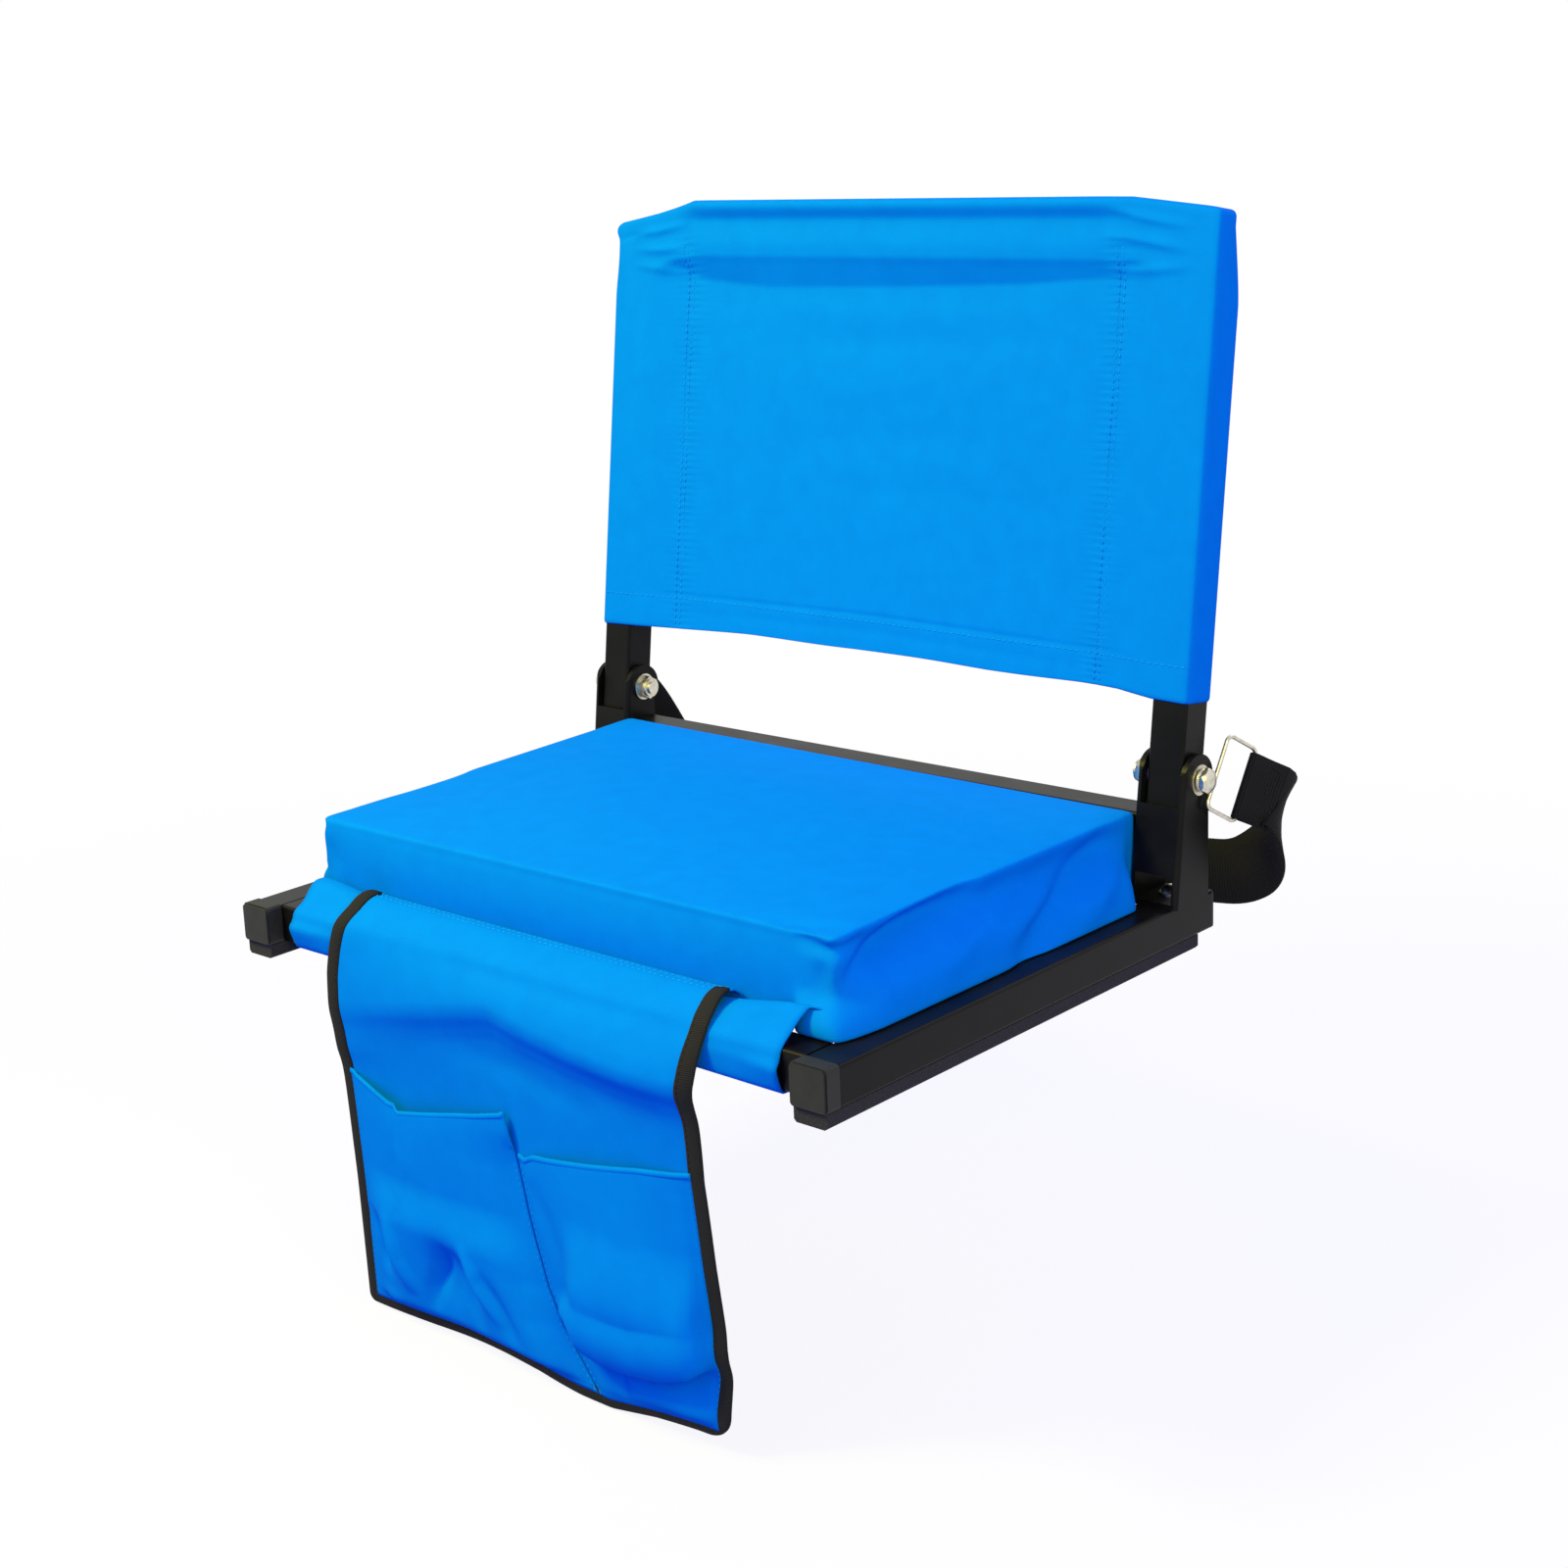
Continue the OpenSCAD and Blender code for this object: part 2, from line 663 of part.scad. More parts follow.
// Each row: inset from the side, height share of the side, draw share
side_rows = [[9, 0, 0.3], [3, 0.03, 0.6], [0.8, 0.14, 1], [0, 0.4, 1], [0.2, 0.7, 1], [0.8, 0.92, 0.8], [2.4, 1, 0.6]];
crown_rows = [8, 22, 45, 75, 110];
module seat_cushion() {
    crown_to = 150;
    sides = [for (r = side_rows) let(z = cushion_z0 + (cushion_h - sling_off) * r[1])
        [for (p = outline(half_x - r[0], half_y - r[0], cushion_r, cushion_draw * r[2])) [p[0], p[1], z]]];
    tops = [for (c = crown_rows) let(z = cushion_z0 + cushion_h - sling_off + cushion_crown * sin(90 * min(1, c / 90)))
        [for (p = outline(half_x - c, half_y - c, cushion_r, cushion_draw * 0.6 * (1 - c / crown_to))) [p[0], p[1], z]]];
    color(blue) translate([0, cushion_mid, 0]) skin(concat(sides, tops));
}

// The flap comes out over the roll, turns down over the front tube and hangs
flap_off = sling_off + flap_gap;
flap_back = front_tube_y - tube_w / 2 - flap_off;
flap_y = flap_back - flap_t / 2;
hinge_z = strip_t - sling_off - 1.5;
turn_r = tube_r + flap_off;
tuck_z = deck_z + flap_off;
turn_n = 6;

module flap_tuck() {
    y_turn = flap_back + turn_r;
    z_turn = tuck_z - turn_r;
    out = [for (i = [0:turn_n]) let(a = 90 + 90 * i / turn_n) [y_turn + (turn_r + flap_t) * cos(a), z_turn + (turn_r + flap_t) * sin(a)]];
    in = [for (i = [turn_n:-1:0]) let(a = 90 + 90 * i / turn_n) [y_turn + turn_r * cos(a), z_turn + turn_r * sin(a)]];
    low = hinge_z + flap_t / 2 + 0.3;
    strip = roll_strip(y_turn, cushion_y0 + tuck_l, tuck_z, flap_t);
    color(blue) translate([flap_x, 0, 0]) rotate([90, 0, 90]) linear_extrude(flap_w, center = true) {
        polygon(strip);
        polygon(concat(out, [[flap_back - flap_t, low], [flap_back, low]], in));
    }
}

// Shape of the hanging cloth: u runs across from -1 to 1, v runs down from 0 to 1
top_z = hinge_z - flap_t / 2;
flap_len = top_z + flap_drop;
function fold(u, v) = fold_depth * v * (0.6 * sin(200 * u + 40) + 0.4 * cos(420 * u) * v);
function flap_half(v) = flap_w / 2 + flap_flare * pow(v, 1.5);
function cloth(u, v, off) = [
    flap_x + u * flap_half(v) + flap_sway * v,
    flap_y - off + fold(u, v) + flap_lean * v,
    top_z - flap_len * v
];

// Closed sheet of thickness t over a patch of u and v, with a half-round top end if round_top
head_n = 3;
module cloth_sheet(u0, u1, v0, v1, nu, nv, t, round_top) {
    function row(v, half) = concat(
        [for (i = [0:nu]) cloth(u0 + (u1 - u0) * i / nu, v, -half)],
        [for (i = [nu:-1:0]) cloth(u0 + (u1 - u0) * i / nu, v, half)]
    );
    function lifted(ring, z) = [for (p = ring) p + [0, 0, z]];
    head = [for (k = [head_n:-1:1]) let(a = 80 * k / head_n) lifted(row(v0, cos(a) * t / 2), sin(a) * t / 2)];
    body = [for (j = [0:nv]) row(v0 + (v1 - v0) * j / nv, t / 2)];
    skin(concat(round_top ? head : [], body), sheet = true);
}

bind_u = 1 - bind_w / (flap_w / 2);
bind_v = 1 - bind_w / flap_len;
edge_gap = 0.2;
panel_u = bind_u - edge_gap / (flap_w / 2);
panel_v = bind_v - edge_gap / flap_len;

module flap_panel() {
    color(blue) cloth_sheet(-panel_u, panel_u, 0, panel_v, 22, 12, flap_t, true);
}

module flap_binding() {
    color(webbing) {
        cloth_sheet(-1, -bind_u, 0, 1, 1, 12, bind_t, true);
        cloth_sheet(bind_u, 1, 0, 1, 1, 12, bind_t, true);
        cloth_sheet(-bind_u, bind_u, bind_v, 1, 22, 1, bind_t, false);
    }
}

// Pockets: s runs across from side to side, t runs down from the mouth
pocket_gap = 0.25;
seam_gap = 0.2;
function seam_u(v) = seam_at + seam_lean * v;
function mouth_v(s) = (top_z + mouth_drop + mouth_sag * sin(180 * s)) / flap_len;
function bulge(s, t) = mouth_gape * sin(180 * s) * pow(1 - t, 1.3);

module pocket(side) {
    nu = 12;
    nv = 8;
    function edge(v, s) = let(a = side < 0 ? -panel_u : seam_u(v) + seam_gap / flap_w,
        b = side < 0 ? seam_u(v) - seam_gap / flap_w : panel_u) a + (b - a) * s;
    function at(i, j, k) = let(s = i / nu, t = j / nv, v = mouth_v(s) + (panel_v - mouth_v(s)) * t)
        cloth(edge(v, s), v, flap_t / 2 + pocket_gap + pocket_t / 2 + bulge(s, t) + k * pocket_t / 2);
    color(blue) skin([for (j = [0:nv]) concat([for (i = [0:nu]) at(i, j, -1)], [for (i = [nu:-1:0]) at(i, j, 1)])], sheet = true);
}

module left_pocket() pocket(-1);
module right_pocket() pocket(1);

// Wire ring: an eye on the hinge bolt, a short neck and a long loop that leans outwards
eye_clear = 0.3;
eye_r = pin_d / 2 + eye_clear + wire_d / 2;
bend_at = eye_r + 2.5;
near_a = neck_l - bend_at;
far_a = near_a + ring_w;
leg_half = (ring_h + wire_d) / 2;
loop_r = 4;

// Straight wire from -l / 2 to l / 2 along Z; it runs a little way into the bends at its ends
module straight_wire(l) {
    run_in = 0.05;
    translate([0, 0, -l / 2 - run_in]) cylinder(h = l + 2 * run_in, d = wire_d - 0.04);
}

// Quarter bend from the Y direction to the Z direction
module wire_bend() {
    rotate([90, 0, 90]) rotate_extrude(angle = 90) translate([loop_r, 0]) circle(d = wire_d);
}

// Rounded rectangle of wire in the YZ plane, centred on the origin
module wire_loop() {
    y = ring_w / 2 - loop_r;
    z = leg_half - loop_r;
    for (k = [-1, 1]) {
        translate([0, k * ring_w / 2, 0]) straight_wire(2 * z);
        translate([0, 0, k * leg_half]) rotate([90, 0, 0]) straight_wire(2 * y);
        translate([0, k * y, k * z]) rotate([k < 0 ? 180 : 0, 0, 0]) wire_bend();
        translate([0, -k * y, k * z]) rotate([k < 0 ? -90 : 90, 0, 0]) wire_bend();
    }
}

module ring(side) {
    neck_d = wire_d - 0.2;
    cross = 0.4;
    color(zinc) translate([side * (rail_x + ring_x), pivot_y, pivot_z]) rotate([-ring_tilt, 0, 0]) {
        rotate([0, 90, 0]) rotate_extrude() translate([eye_r, 0]) circle(d = wire_d);
        translate([0, eye_r, 0]) rotate([-90, 0, 0]) cylinder(h = bend_at - eye_r + cross, d = neck_d);
        translate([0, bend_at, 0]) rotate([0, 0, -side * ring_lean]) {
            translate([0, -cross, 0]) rotate([-90, 0, 0]) cylinder(h = near_a + cross, d = neck_d - 0.1);
            translate([0, near_a + ring_w / 2, eye_drop]) wire_loop();
        }
    }
}

module left_ring() ring(-1);
module right_ring() ring(1);

// Turns a direction of the right ring's own frame into the part's frame
function ring_dir(p) = let(
    x = p[0] * cos(ring_lean) + p[1] * sin(ring_lean),
    y = p[1] * cos(ring_lean) - p[0] * sin(ring_lean)
) [x, y * cos(ring_tilt) + p[2] * sin(ring_tilt), p[2] * cos(ring_tilt) - y * sin(ring_tilt)];
leg_mid = [rail_x + ring_x, pivot_y + bend_at * cos(ring_tilt), pivot_z - bend_at * sin(ring_tilt)]
    + ring_dir([0, far_a, eye_drop]);
leg_dir = ring_dir([0, 0, 1]);

// Webbing: doubled round the ring's far side, then a free run across the back
leave = 20;
wrap_r = wire_d / 2 + 0.3 + strap_t / 2;
lap = strap_t / 2 + 0.15;
lap_l = 26;
function wrap_point(d, o) = leg_mid + ring_dir([d * sin(leave) + o * cos(leave), d * cos(leave) - o * sin(leave), 0]);
wrap = [
    [lap_l, -lap], [15, -lap], [8, -lap - 0.3], [3.5, -lap - 1],
    for (a = [-70:-40:-290]) [wrap_r * cos(a), wrap_r * sin(a)],
    [3.5, lap + 1], [8, lap + 0.3], [15, lap], [lap_l, lap]
];
function bezier(a, b, c, d, t) = pow(1 - t, 3) * a + 3 * pow(1 - t, 2) * t * b + 3 * (1 - t) * t * t * c + t * t * t * d;
run_dir = ring_dir([sin(leave), cos(leave), 0]);
run_start = wrap_point(lap_l + 2, lap);
turn_at = [rail_x - 13, pivot_y + strap_back + 6, strap_w / 2 + 8];
turn_dir = [1, 0.05, 0.1];
mid_span = [0, pivot_y + strap_back, strap_w / 2 + 1];
half_path = concat(
    [for (p = wrap) wrap_point(p[0], p[1])],
    [for (i = [0:9]) bezier(run_start, run_start + 10 * run_dir, turn_at + 34 * turn_dir, turn_at, i / 10)],
    [for (i = [0:8]) bezier(turn_at, turn_at - 50 * turn_dir, mid_span + [60, 0, 0], mid_span, i / 8)]
);

function unit(v) = v / norm(v);
path_n = len(half_path);
wrap_n = len(wrap);
function path_dir(i) = i == path_n - 1 ? [-1, 0, 0] : unit(half_path[i + 1] - half_path[max(i - 1, 0)]);
function width_dir(i) = let(
    t = path_dir(i),
    up = unit([0, 0, 1] - t[2] * t),
    f = min(1, max(0, (i - wrap_n) / 7)),
    w = leg_dir * (1 - f) + up * f
) unit(w - (w * t) * t);
function strap_ring(i) = let(w = width_dir(i) * strap_w / 2, n = cross(path_dir(i), width_dir(i)) * strap_t / 2)
    [half_path[i] - w - n, half_path[i] + w - n, half_path[i] + w + n, half_path[i] - w + n];
function flip(ring) = [for (p = ring) [-p[0], p[1], p[2]]];

module carry_strap() {
    rings = [for (i = [0:path_n - 1]) strap_ring(i)];
    color(webbing) skin(concat(rings, [for (i = [path_n - 2:-1:0]) flip(rings[i])]));
}

left_rail();
right_rail();
front_tube();
rear_tube();
brace_bar();
left_front_cap();
right_front_cap();
left_rear_plug();
right_rear_plug();
left_runner();
right_runner();
left_bracket();
right_bracket();
pivot_bolts();
pivot_nuts();
steel_washers();
nylon_washers();
foot_bolts();
foot_washers();
foot_nuts();
seat_sling();
hook_strips();
seat_cushion();
flap_tuck();
back_frame();
upright_plugs();
back_cover();
flap_panel();
flap_binding();
left_pocket();
right_pocket();
left_ring();
right_ring();
carry_strap();
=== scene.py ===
# %% [markdown]
# # A folding bleacher seat
# The steel frame, the brackets, the bolts and the caps come from the CAD model and only get
# finishes here. The soft goods are made new: a box cushion, a sewn back cover, a sling, a
# pocket flap with its binding, and a webbing carry strap.

# %% Load the frame
import json
import math
import bmesh
import bpy
import numpy as np
from mathutils import Matrix, Vector


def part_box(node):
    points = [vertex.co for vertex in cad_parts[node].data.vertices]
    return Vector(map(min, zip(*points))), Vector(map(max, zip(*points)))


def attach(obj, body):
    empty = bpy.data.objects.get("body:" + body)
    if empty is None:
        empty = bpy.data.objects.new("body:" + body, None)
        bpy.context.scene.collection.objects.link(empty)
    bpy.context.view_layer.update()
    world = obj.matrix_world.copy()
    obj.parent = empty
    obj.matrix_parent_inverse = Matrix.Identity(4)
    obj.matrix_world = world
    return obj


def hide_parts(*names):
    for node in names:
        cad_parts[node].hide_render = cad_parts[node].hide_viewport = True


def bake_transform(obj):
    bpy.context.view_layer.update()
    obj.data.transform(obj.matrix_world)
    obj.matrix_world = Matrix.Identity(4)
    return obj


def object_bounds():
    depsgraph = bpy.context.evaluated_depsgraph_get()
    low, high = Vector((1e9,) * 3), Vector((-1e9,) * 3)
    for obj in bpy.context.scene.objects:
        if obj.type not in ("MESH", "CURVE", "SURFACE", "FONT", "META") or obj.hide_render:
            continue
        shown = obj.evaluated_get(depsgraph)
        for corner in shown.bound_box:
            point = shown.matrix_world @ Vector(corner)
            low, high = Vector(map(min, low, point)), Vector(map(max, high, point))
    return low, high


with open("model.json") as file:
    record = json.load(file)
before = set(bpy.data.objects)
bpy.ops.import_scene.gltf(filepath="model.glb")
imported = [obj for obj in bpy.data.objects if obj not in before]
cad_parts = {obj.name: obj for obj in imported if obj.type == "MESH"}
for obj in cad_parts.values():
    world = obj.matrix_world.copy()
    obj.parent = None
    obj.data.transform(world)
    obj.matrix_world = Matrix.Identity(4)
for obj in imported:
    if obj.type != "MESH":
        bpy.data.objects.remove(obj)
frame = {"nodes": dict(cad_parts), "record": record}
cad_low, cad_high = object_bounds()
nodes = frame["nodes"]
slot_of = {row["node"]: row["material_slot"] for row in frame["record"]["subparts"]}

# %% [markdown]
# ## Working units
# The shapes below are worked out in millimetres, the way the seat's maker would, and turned to
# Blender's metres only when a mesh is made. Folds are written as soft grooves and mounds, which
# are added to a surface one by one, as a sculptor would press them in.

# %% Units and small helpers
MM = 0.001
pin = np.array([0.0, 147.5, 99.0])
recline = math.radians(7.5)


def box_mm(node):
    """Lowest and highest corner of a CAD node, in millimetres."""
    return [np.array(corner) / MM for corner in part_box(node)]


def smooth(a, b, x):
    """0 before a, 1 after b, and a soft step between them."""
    t = np.clip((np.asarray(x, float) - a) / (b - a), 0, 1)
    return t * t * (3 - 2 * t)


def bell(x, middle, width):
    """1 at the middle, falling softly to 0 on both sides."""
    return np.exp(-(((x - middle) / width) ** 2))


def mound(px, py, centre, height, wide, tall):
    """A soft round mound of the given height and half widths."""
    return height * np.exp(-(((px - centre[0]) / wide) ** 2) - ((py - centre[1]) / tall) ** 2)


def crease(px, py, depth, width, line, power=1.0):
    """A soft groove along a line of points: deepest half way along it, fading to its ends."""
    line = np.array(line, float)
    steps = np.linalg.norm(np.diff(line, axis=0), axis=1)
    run, best, place = 0.0, np.full(np.shape(px), 1e9), np.zeros(np.shape(px))
    for a, b, step in zip(line[:-1], line[1:], steps):
        d = (b - a) / step
        t = np.clip((px - a[0]) * d[0] + (py - a[1]) * d[1], 0, step)
        away = np.hypot(px - a[0] - t * d[0], py - a[1] - t * d[1])
        near = away < best
        best = np.where(near, away, best)
        place = np.where(near, (run + t) / steps.sum(), place)
        run += step
    return depth * bell(best, 0, width) * np.sin(np.pi * np.clip(place, 0, 1)) ** power


def creases(px, py, *rows):
    """The sum of many creases, each a depth (below 0 for a ridge), a width, a line and maybe a power."""
    return sum(crease(px, py, *row) for row in rows)


def along(x, table):
    """Reads a value from a table of (place, value) pairs."""
    table = np.array(table, float)
    return np.interp(x, table[:, 0], table[:, 1])


def from_back(x, y, u):
    """A point of the folding back, given along its own axes from the hinge pins, in the frame's axes."""
    return np.stack([x, pin[1] + y * math.cos(recline) + u * math.sin(recline),
                     pin[2] - y * math.sin(recline) + u * math.cos(recline)], axis=-1)


# %% [markdown]
# ## Making meshes
# Every cloth piece starts as a regular grid of points, because a grid folds evenly and its
# threads are easy to follow: the UV map is simply the flat cloth in metres.

# %% Mesh helpers
def put(name, data):
    """A new object in the scene."""
    piece = bpy.data.objects.new(name, data)
    bpy.context.scene.collection.objects.link(piece)
    return piece


def mesh_piece(name, points, faces, uv=None, material=None):
    """A mesh object from points in millimetres. uv has one pair for each corner of each face."""
    mesh = bpy.data.meshes.new(name)
    mesh.from_pydata((np.asarray(points) * MM).tolist(), [], [list(map(int, f)) for f in faces])
    if uv is not None:
        layer = mesh.uv_layers.new(name="cloth")
        layer.data.foreach_set("uv", (np.asarray(uv, float).reshape(-1) * MM).astype(np.float32))
    mesh.validate()
    if material:
        mesh.materials.append(material)
    mesh.shade_smooth()
    return put(name, mesh)


def baked(piece):
    """Turns a piece and its modifiers into a plain mesh."""
    graph = bpy.context.evaluated_depsgraph_get()
    mesh = bpy.data.meshes.new_from_object(piece.evaluated_get(graph))
    piece.modifiers.clear()
    old, piece.data = piece.data, mesh
    bpy.data.meshes.remove(old)
    return piece


def outward(piece):
    """Turns the faces of a closed piece outwards."""
    shape = bmesh.new()
    shape.from_mesh(piece.data)
    bmesh.ops.recalc_face_normals(shape, faces=shape.faces)
    shape.to_mesh(piece.data)
    shape.free()
    return piece


def thickened(piece, thickness, offset):
    """Gives a surface the thickness of its cloth."""
    wall = piece.modifiers.new("cloth", "SOLIDIFY")
    wall.thickness, wall.offset = thickness * MM, offset
    return baked(piece)


def grid_faces(rows, columns, closed=False):
    """Quads over a grid of points that runs row by row."""
    return [(i * columns + j, i * columns + (j + 1) % columns,
             (i + 1) * columns + (j + 1) % columns, (i + 1) * columns + j)
            for i in range(rows - 1) for j in range(columns if closed else columns - 1)]


def sheet_piece(name, points, flat, material, thickness, offset=0.0):
    """Cloth from a grid of points (rows, columns, 3) and its flat pattern (rows, columns, 2)."""
    faces = grid_faces(*points.shape[:2])
    uv = flat.reshape(-1, 2)[np.array(faces)]
    return thickened(mesh_piece(name, points.reshape(-1, 3), faces, uv, material), thickness, offset)


def band_piece(name, rings, wide, run, material):
    """A closed band from rings of points. Its flat pattern is wide round a ring and run along the band."""
    n = len(wide)
    faces = grid_faces(len(rings), n, closed=True)
    faces += [list(range(n))[::-1], [n * (len(rings) - 1) + k for k in range(n)]]
    uv = [(wide[k % n], run[k // n]) for f in faces for k in f]
    return outward(mesh_piece(name, rings.reshape(-1, 3), faces, uv, material))


def box_shell(lines, radius, sides=("-x", "+x", "-y", "+y", "-z", "+z")):
    """A rounded box from its grid lines along x, y and z. sides names the faces to make.
    Returns the points, faces, flat pattern, and the points as they were before rounding."""
    low, high = np.array([(v[0], v[-1]) for v in lines]).T
    points, faces, uv, index = [], [], [], {}
    for side in sides:
        axis, upper = "xyz".index(side[1]), side[0] == "+"
        a, b = [k for k in range(3) if k != axis]
        ids = {}
        for i, j in np.ndindex(len(lines[a]), len(lines[b])):
            p = np.zeros(3)
            p[a], p[b], p[axis] = lines[a][i], lines[b][j], (high if upper else low)[axis]
            ids[i, j] = index.setdefault(tuple(np.round(p, 3)), len(points))
            if ids[i, j] == len(points):
                points.append(p)
        for i, j in np.ndindex(len(lines[a]) - 1, len(lines[b]) - 1):
            quad = [(i, j), (i + 1, j), (i + 1, j + 1), (i, j + 1)][::-1 if upper == (axis == 1) else 1]
            faces.append([ids[q] for q in quad])
            uv.append([(lines[a][i], lines[b][j]) for i, j in quad])
    square = np.array(points)
    inner = np.clip(square, low + radius, high - radius)
    away = square - inner
    length = np.maximum(np.linalg.norm(away, axis=1, keepdims=True), 1e-9)
    rounded = np.where(length > 1e-6, inner + radius * away / length, square)
    return rounded, faces, np.array(uv).reshape(-1, 2), square


def round_off(dx, dy):
    """Turns a place in a square corner, seen from the corner's centre, into one in a round corner."""
    reach, length = np.maximum(np.abs(dx), np.abs(dy)), np.maximum(np.hypot(dx, dy), 1e-9)
    return dx / length * reach, dy / length * reach


def spaced(low, high, step, *dense):
    """Grid lines about step apart, and closer in each dense stretch (from, to, step)."""
    lines = np.linspace(low, high, max(2, int(round((high - low) / step)) + 1))
    for a, b, fine in dense:
        lines = lines[(lines < a - fine * 0.6) | (lines > b + fine * 0.6)]
        lines = np.concatenate([lines, np.linspace(a, b, int(round((b - a) / fine)) + 1)])
    return np.unique(np.round(lines, 4))


# %% [markdown]
# ## The camera
# The view was fitted to the straight edges of the photograph: the rails, the cross tube and the
# uprights. The long lens keeps the verticals nearly parallel.

# %% Camera
yaw, pitch, roll = math.radians(-44.49), math.radians(13.88), math.radians(-3.01)
camera = put("camera", bpy.data.cameras.new("camera"))
bpy.context.scene.camera = camera
turn = (Matrix.Rotation(roll, 3, "Z") @ Matrix.Rotation(pitch, 3, "X")
        @ Matrix(((1, 0, 0), (0, 0, -1), (0, 1, 0))) @ Matrix.Rotation(yaw, 3, "Z"))
camera_axes = Matrix((turn[0], -turn[1], -turn[2])).transposed()
camera.matrix_world = Matrix.Translation((0.9508, -1.0161, 0.4791)) @ camera_axes.to_4x4()
camera.data.lens, camera.data.clip_start, camera.data.clip_end = 58.94, 0.05, 60
camera.data.shift_x, camera.data.shift_y = 0.0874, -0.0404
print("camera at", [round(v, 3) for v in camera.location])

# %% [markdown]
# ## Light
# Soft daylight in a plain studio: one broad lamp high in front and to the left, a weaker one
# from the right, and a pale blue room all round that fills the shadows. A shader is a tree of
# nodes, so one small function adds a node with its settings and links.

# %% Node and colour helpers
def linear(colour):
    """A hex colour as written for screens, turned to the linear values that shaders use."""
    values = [int(colour[i:i + 2], 16) / 255 for i in (1, 3, 5)]
    return [v / 12.92 if v <= 0.04045 else ((v + 0.055) / 1.055) ** 2.4 for v in values] + [1.0]


def add(tree, kind, inputs=None, **settings):
    """Adds one node, sets its settings, sets or links its inputs, and gives its outputs."""
    made = tree.nodes.new(kind)
    for key, value in settings.items():
        setattr(made, key, value)
    for key, value in (inputs or {}).items():
        if isinstance(value, bpy.types.NodeSocket):
            tree.links.new(value, made.inputs[key])
        else:
            made.inputs[key].default_value = value
    return made.outputs


def maths(tree, operation, *values):
    """The result of one step of arithmetic on sockets and numbers."""
    return add(tree, "ShaderNodeMath", dict(enumerate(values)), operation=operation)[0]


def new_material(name):
    """An empty material, its tree, and the socket that gives the place on the object."""
    material = bpy.data.materials.new(name)
    material.use_nodes = True
    tree = material.node_tree
    tree.nodes.clear()
    return material, tree, add(tree, "ShaderNodeTexCoord")["Object"]


def shown_rays(tree):
    """1 for what the camera, a reflection or a pane looks at, 0 for light on its way."""
    ray = add(tree, "ShaderNodeLightPath")
    seen = maths(tree, "MAXIMUM", ray["Is Camera Ray"], ray["Is Glossy Ray"])
    return maths(tree, "MAXIMUM", seen, ray["Is Transmission Ray"])


# %% Lamps and room
def area_light(name, place, target, size, power, colour):
    """A round lamp that points at its target."""
    lamp = put(name, bpy.data.lights.new(name, "AREA"))
    lamp.data.shape, lamp.data.size, lamp.data.energy, lamp.data.color = "DISK", size, power, colour
    aim = (Vector(target) - Vector(place)).to_track_quat("-Z", "Y")
    lamp.matrix_world = Matrix.Translation(place) @ aim.to_matrix().to_4x4()


warm = (1.0, 0.95, 0.14)
area_light("key", (-0.55, -0.92, 1.2), (0, 0, 0.1), 0.5, 25, warm)
area_light("fill", (2.1, -1.1, 1.1), (0, 0, 0.1), 1.2, 26, warm)
area_light("rear", (0.3, 2.4, 1.8), (0, 0, 0.15), 1.2, 10, (1.0, 0.97, 0.85))

room_colour, room_level = (0.22, 0.17, 1.0, 1.0), 1.1
world = bpy.data.worlds.new("studio")
bpy.context.scene.world = world
world.use_nodes = True
tree = world.node_tree
tree.nodes.clear()
room = add(tree, "ShaderNodeBackground", {"Color": room_colour, "Strength": room_level})
white = add(tree, "ShaderNodeBackground", {"Color": (1, 1, 1, 1), "Strength": 1.0})
both = add(tree, "ShaderNodeMixShader", {0: shown_rays(tree), 1: room[0], 2: white[0]})
add(tree, "ShaderNodeOutputWorld", {"Surface": both[0]})
print("lamps", len(bpy.data.lights))

# %% Floor
# White paper to the camera, with the object's soft shadow near it; a pale matt floor to the light.
paint, tree, place = new_material("white_paper_floor")
shown = shown_rays(tree)
reach = add(tree, "ShaderNodeVectorMath", {0: place}, operation="LENGTH")["Value"]
share = add(tree, "ShaderNodeMapRange", {
    "Value": reach, "From Min": 0.45, "From Max": 1.3, "To Min": 0.9, "To Max": 1.0})[0]
colour = add(tree, "ShaderNodeMix", {"Factor": shown, "A": linear("#5A6CC8"), "B": linear("#FAFAFA")},
             data_type="RGBA")["Result"]
matt = add(tree, "ShaderNodeBsdfDiffuse", {"Color": colour})[0]
paper = add(tree, "ShaderNodeEmission", {"Color": (1, 1, 1, 1), "Strength": 1.0})[0]
mixed = add(tree, "ShaderNodeMixShader", {0: maths(tree, "MULTIPLY", shown, share), 1: matt, 2: paper})
add(tree, "ShaderNodeOutputMaterial", {"Surface": mixed[0]})

floor_z, floor_half = cad_low.z / MM - 6, 25000
floor = mesh_piece("floor", [(x * floor_half, y * floor_half, floor_z)
                             for x, y in ((-1, -1), (1, -1), (1, 1), (-1, 1))], [(0, 1, 2, 3)], None, paint)
print("floor at", round(floor_z, 1), "mm")

# %% [markdown]
# ## Finishes
# Each finish is built from what the real one is. Sizes of threads, peel and grain are written
# in millimetres.

# %% Finish helpers
def finish_surface(tree, values, height, strength, depth):
    """Principled surface with its values, and a bump of the given depth in millimetres."""
    bump = add(tree, "ShaderNodeBump", {"Strength": strength, "Distance": depth * MM, "Height": height})
    surface = add(tree, "ShaderNodeBsdfPrincipled", {**values, "Normal": bump[0]})
    add(tree, "ShaderNodeOutputMaterial", {"Surface": surface[0]})


def noise(tree, place, size_mm, detail):
    """Noise with features about size_mm across."""
    return add(tree, "ShaderNodeTexNoise", {
        "Vector": place, "Scale": 1 / (size_mm * MM), "Detail": detail, "Roughness": 0.5})["Fac"]


